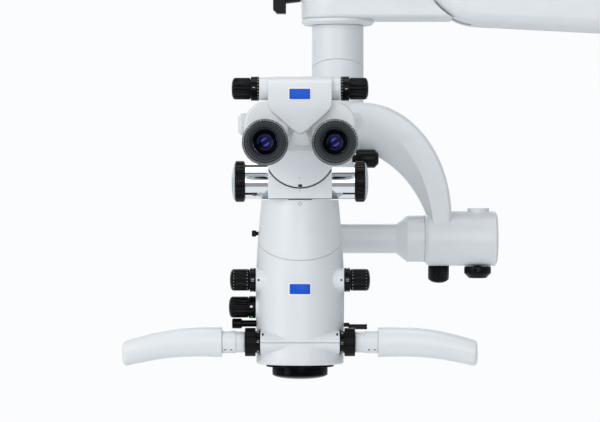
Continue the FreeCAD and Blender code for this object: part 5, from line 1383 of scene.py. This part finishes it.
@dataclass
class ObjectiveHood:
    """The black hood round the objective, whose lower lip and front lens share one shallow dome."""

    bottom: float = -139.9
    radius: float = 27.65
    bore: float = 25.05
    dome: float = 5.2
    lip_bore: float = 21.4
    flange_radius: float = 33.8

    def dome_height(self, reach: float) -> float:
        """How far above its lowest point the dome lies.

        Args:
            reach: Distance from the axis, in millimetres.

        Returns:
            The height, in millimetres.
        """
        return self.dome * (1 - math.sqrt(max(0.0, 1 - (reach / self.radius) ** 2)))

    def arc(self, inner: float, outer: float, steps: int) -> Profile:
        """Points of the dome from its outer to its inner radius.

        Args:
            inner: The inner radius, in millimetres.
            outer: The outer radius.
            steps: Number of steps between them.

        Returns:
            Radius and height of each point.
        """
        low, high = (math.asin(reach / self.radius) for reach in (inner, outer))
        turns = [high + (low - high) * step / steps for step in range(steps + 1)]
        return [(self.radius * math.sin(turn), self.dome_height(self.radius * math.sin(turn)))
                for turn in turns]

    def build(self) -> set[str]:
        """Turns the hood and the lens in it, and sets two stops on the flange.

        Returns:
            The nodes that they stand for.
        """
        at = at_head(0, 0, self.bottom)
        flange = [(24.2, 15.5), (self.flange_radius - 0.4, 15.5), (self.flange_radius, 15.1),
                  (self.flange_radius, 13.1), (self.flange_radius - 0.4, 12.7), (28.4, 12.7),
                  (self.radius, 12.1)]
        inside = [(self.lip_bore, 4.2), (self.bore, 4.4), (self.bore, 12.6), (24.2, 12.9),
                  (24.2, 15.5)]
        lip = self.arc(self.lip_bore, self.radius, 12)
        Form().lathe(flange + lip + inside, steps=160).set_down(
            "objective_hood_detail", ANODISED, "head", "black_metal", at,
            replaces=("objective_hood",))
        edge, seat, top = self.lip_bore - 0.1, self.bore - 0.15, 12.4
        lens = self.arc(0.0, edge, 12)[::-1] + [(edge, 4.6), (seat, 4.7), (seat, top), (0, top)]
        Form().lathe(lens, steps=128).set_down("front_lens_detail", DARK_LENS, "head",
                                               "coated_glass", at,
                                               replaces=("protective_glass",))
        stops = Form()
        for side in Side:
            stops.block((2.4, 1.4, 1.2), (22.0 * side.value, -24.6, 0))
        stops.set_down("flange_stops", ANODISED, "head", "black_metal", at_head(0, 0, -124.4))
        return {"objective_hood", "protective_glass"}


@dataclass
class PocketSeal:
    """A black strip of painted shade in the gap between the cradle's round pocket and the pendulum, standing for
    the shadow in that gap.
    """

    middle_height: float = 86.5
    pocket_radius: float = 36.25
    width: float = 0.9
    depth: float = 3.0
    front: float = 44.2
    half_angle: float = 61.0

    def build(self) -> None:
        """Bends the strip along the lower part of the pocket and sets it in the cradle."""
        steps = 48
        turns = [math.radians(270 + self.half_angle * (2 * step / steps - 1))
                 for step in range(steps + 1)]
        outer = [(self.pocket_radius * math.cos(turn), self.pocket_radius * math.sin(turn))
                 for turn in turns]
        inside = self.pocket_radius - self.width
        inner = [(inside * math.cos(turn), inside * math.sin(turn)) for turn in turns]
        at = at_head(0, self.front - self.depth, self.middle_height)
        # The strip is painted shade: matt black where the gap holds only shadow.
        Form().slab(outer + inner[::-1], self.depth).set_down(
            "pocket_seal", BAFFLE, "tilting_cradle", "black_plastic", at, TO_USER)


@dataclass
class Studio:
    """The floor, the room, the lamps and the camera of the photograph."""

    picture_width: int = 600
    focal_pixels: float = 3000.0
    sensor: float = 36.0
    distance: float = 3000.0
    camera_height: float = 28.1
    floor_drop: float = 620.0

    def build(self) -> None:
        """Makes the whole studio."""
        self.make_camera()
        self.make_floor()
        self.make_card()
        self.make_lamps()
        self.make_world()

    def make_camera(self) -> None:
        """Stands the camera level in front of the head, as far off as the photograph's view."""
        data = bpy.data.cameras.new("camera")
        data.sensor_width = self.sensor
        data.lens = self.sensor * self.focal_pixels / self.picture_width
        data.clip_end = 30
        camera = bpy.data.objects.new("camera", data)
        camera.location = at_head(0, self.distance, self.camera_height)
        camera.rotation_euler = (math.pi / 2, 0, 0)
        bpy.context.scene.collection.objects.link(camera)
        bpy.context.scene.camera = camera

    def make_floor(self) -> None:
        """Lays a round pale floor, wide enough for every side that the object is seen from."""
        radius, steps = 6.0, 96
        level = HEAD.z - self.floor_drop * MM
        shape = bmesh.new()
        bmesh.ops.create_circle(shape, cap_ends=True, radius=radius, segments=steps,
                                matrix=Matrix.Translation((HEAD.x, HEAD.y, level)))
        data = bpy.data.meshes.new("floor")
        shape.to_mesh(data)
        shape.free()
        data.materials.append(self.floor_paint())
        floor = bpy.data.objects.new("floor", data)
        bpy.context.scene.collection.objects.link(floor)

    def floor_paint(self) -> bpy.types.Material:
        """Mixes a pale matt paint that the camera, glossy and glass rays see near white.

        Returns:
            The material.
        """
        paint = bpy.data.materials.new("floor_paint")
        paint.use_nodes = True
        tree = paint.node_tree
        tree.nodes.clear()
        place = add_node(tree, "ShaderNodeTexCoord")
        cloud = add_node(tree, "ShaderNodeTexNoise", {"Scale": 0.7, "Detail": 1.0},
                         {"Vector": place.outputs["Object"]})
        tint = add_node(tree, "ShaderNodeMix", {6: linear("#FEFEFF"), 7: linear("#F7F9FB")},
                        {0: cloud.outputs["Fac"]}, data_type="RGBA")
        matt = add_node(tree, "ShaderNodeBsdfDiffuse", links={"Color": tint.outputs[2]})
        glow = add_node(tree, "ShaderNodeEmission", {"Strength": 1.0}, {"Color": tint.outputs[2]})
        ray = add_node(tree, "ShaderNodeLightPath")
        seen = add_node(tree, "ShaderNodeMath",
                        links={0: ray.outputs["Is Camera Ray"], 1: ray.outputs["Is Transmission Ray"]},
                        operation="MAXIMUM")
        both = add_node(tree, "ShaderNodeMath",
                        links={0: seen.outputs[0], 1: ray.outputs["Is Glossy Ray"]},
                        operation="MAXIMUM")
        share = add_node(tree, "ShaderNodeMath", {1: 0.9}, {0: both.outputs[0]},
                         operation="MULTIPLY")
        mixed = add_node(tree, "ShaderNodeMixShader",
                         links={0: share.outputs[0], 1: matt.outputs[0], 2: glow.outputs[0]})
        add_node(tree, "ShaderNodeOutputMaterial", links={"Surface": mixed.outputs[0]})
        return paint

    def make_lamps(self) -> None:
        """Hangs a key at the left, a frontal fill, a top light, a back light and a low side light."""
        self.lamp("key", Vector((-1.3, -1.5, 0.9)), 1.2, 13.5, "#FFFFFF")
        self.lamp("fill", Vector((0.3, -2.8, 0.3)), 1.4, 13.0, "#F8FAFF")
        self.lamp("top", Vector((0.1, -0.3, 2.1)), 1.5, 14.0, "#FFFFFF")
        self.lamp("back", Vector((-0.5, 2.6, 1.0)), 1.8, 14.0, "#FFFFFF")
        self.lamp("low", Vector((-1.85, -1.25, -0.25)), 0.9, 5.0, "#FAFBFF")

    def make_card(self) -> None:
        """Lays a grey card on the floor in front, which only polished metal shows."""
        half_width, near, far, lift = 2.2, 0.95, 4.4, 0.002
        shape = bmesh.new()
        corners = ((-half_width, near), (half_width, near), (half_width, far), (-half_width, far))
        level = HEAD.z - self.floor_drop * MM + lift
        verts = [shape.verts.new((HEAD.x + x, HEAD.y - y, level)) for x, y in corners]
        shape.faces.new(verts)
        data = bpy.data.meshes.new("grey_card")
        shape.to_mesh(data)
        shape.free()
        paint = bpy.data.materials.new("grey_card_paint")
        paint.use_nodes = True
        tree = paint.node_tree
        tree.nodes.clear()
        glow = add_node(tree, "ShaderNodeEmission", {"Color": linear("#A6A3A9"), "Strength": 1.0})
        add_node(tree, "ShaderNodeOutputMaterial", links={"Surface": glow.outputs[0]})
        data.materials.append(paint)
        card = bpy.data.objects.new("grey_card", data)
        card.visible_camera = False
        card.visible_diffuse = False
        card.visible_shadow = False
        bpy.context.scene.collection.objects.link(card)

    def lamp(self, name: str, offset: Vector, size: float, power: float, colour: str) -> None:
        """Hangs one square lamp that faces the head.

        Args:
            name: Its name.
            offset: Where it hangs from the head, in metres.
            size: Its side, in metres.
            power: Its power, in watts.
            colour: Its colour.
        """
        data = bpy.data.lights.new(name, "AREA")
        data.shape = "SQUARE"
        data.size = size
        data.energy = power
        data.color = linear(colour)[:3]
        item = bpy.data.objects.new(name, data)
        item.location = HEAD + offset
        item.visible_camera = False
        item.rotation_euler = (-offset).to_track_quat("-Z", "Y").to_euler()
        bpy.context.scene.collection.objects.link(item)

    def make_world(self) -> None:
        """Surrounds the scene with a soft grey room that has a darker band at eye level."""
        world = bpy.data.worlds.new("room")
        world.use_nodes = True
        tree = world.node_tree
        tree.nodes.clear()
        place = add_node(tree, "ShaderNodeTexCoord")
        parts = add_node(tree, "ShaderNodeSeparateXYZ", links={0: place.outputs["Generated"]})
        height = add_node(tree, "ShaderNodeMapRange", {"From Min": -1.0, "From Max": 1.0},
                          {"Value": parts.outputs["Z"]})
        ramp = add_node(tree, "ShaderNodeValToRGB", links={0: height.outputs["Result"]})
        stops = ((0.0, "#C0C2C4"), (0.36, "#D8DADC"), (0.43, "#8A8C8E"), (0.50, "#A4A7AA"),
                 (0.56, "#E8EAEC"), (0.84, "#F6F8F9"), (0.865, "#55585B"), (0.965, "#4A4D50"),
                 (0.98, "#F0F2F3"), (1.0, "#DADCDE"))
        bands = ramp.color_ramp.elements
        for place_on_ramp, code in stops[1:-1]:
            bands.new(place_on_ramp)
        for band, (place_on_ramp, code) in zip(bands, stops):
            band.position = place_on_ramp
            band.color = linear(code)
        ray = add_node(tree, "ShaderNodeLightPath")
        power = add_node(tree, "ShaderNodeMapRange", {"To Min": 0.6, "To Max": 0.95},
                         {"Value": ray.outputs["Is Glossy Ray"]})
        light = add_node(tree, "ShaderNodeBackground",
                         links={0: ramp.outputs[0], 1: power.outputs["Result"]})
        white = add_node(tree, "ShaderNodeBackground", {0: linear("#FBFCFD"), 1: 1.0})
        mixed = add_node(tree, "ShaderNodeMixShader",
                         links={0: ray.outputs["Is Camera Ray"], 1: light.outputs[0],
                                2: white.outputs[0]})
        add_node(tree, "ShaderNodeOutputWorld", links={"Surface": mixed.outputs[0]})
        bpy.context.scene.world = world


def main() -> None:
    """Builds the studio and every piece in order."""
    logging.basicConfig(level=logging.INFO, format="%(name)s: %(message)s")
    bpy.context.scene.view_settings.view_transform = "Standard"
    Studio().build()
    stands_for = [Eyepiece(side) for side in Side] + [Knobs(), FrontPlate(), ObjectiveHood()]
    replaced = set().union(*(group.build() for group in stands_for))
    for group in (Dials(), HousingMarks(), BlankPlates(), Fasteners(), PocketSeal()):
        group.build()
    CadSkins().build(replaced)


if __name__ == "__main__":
    main()
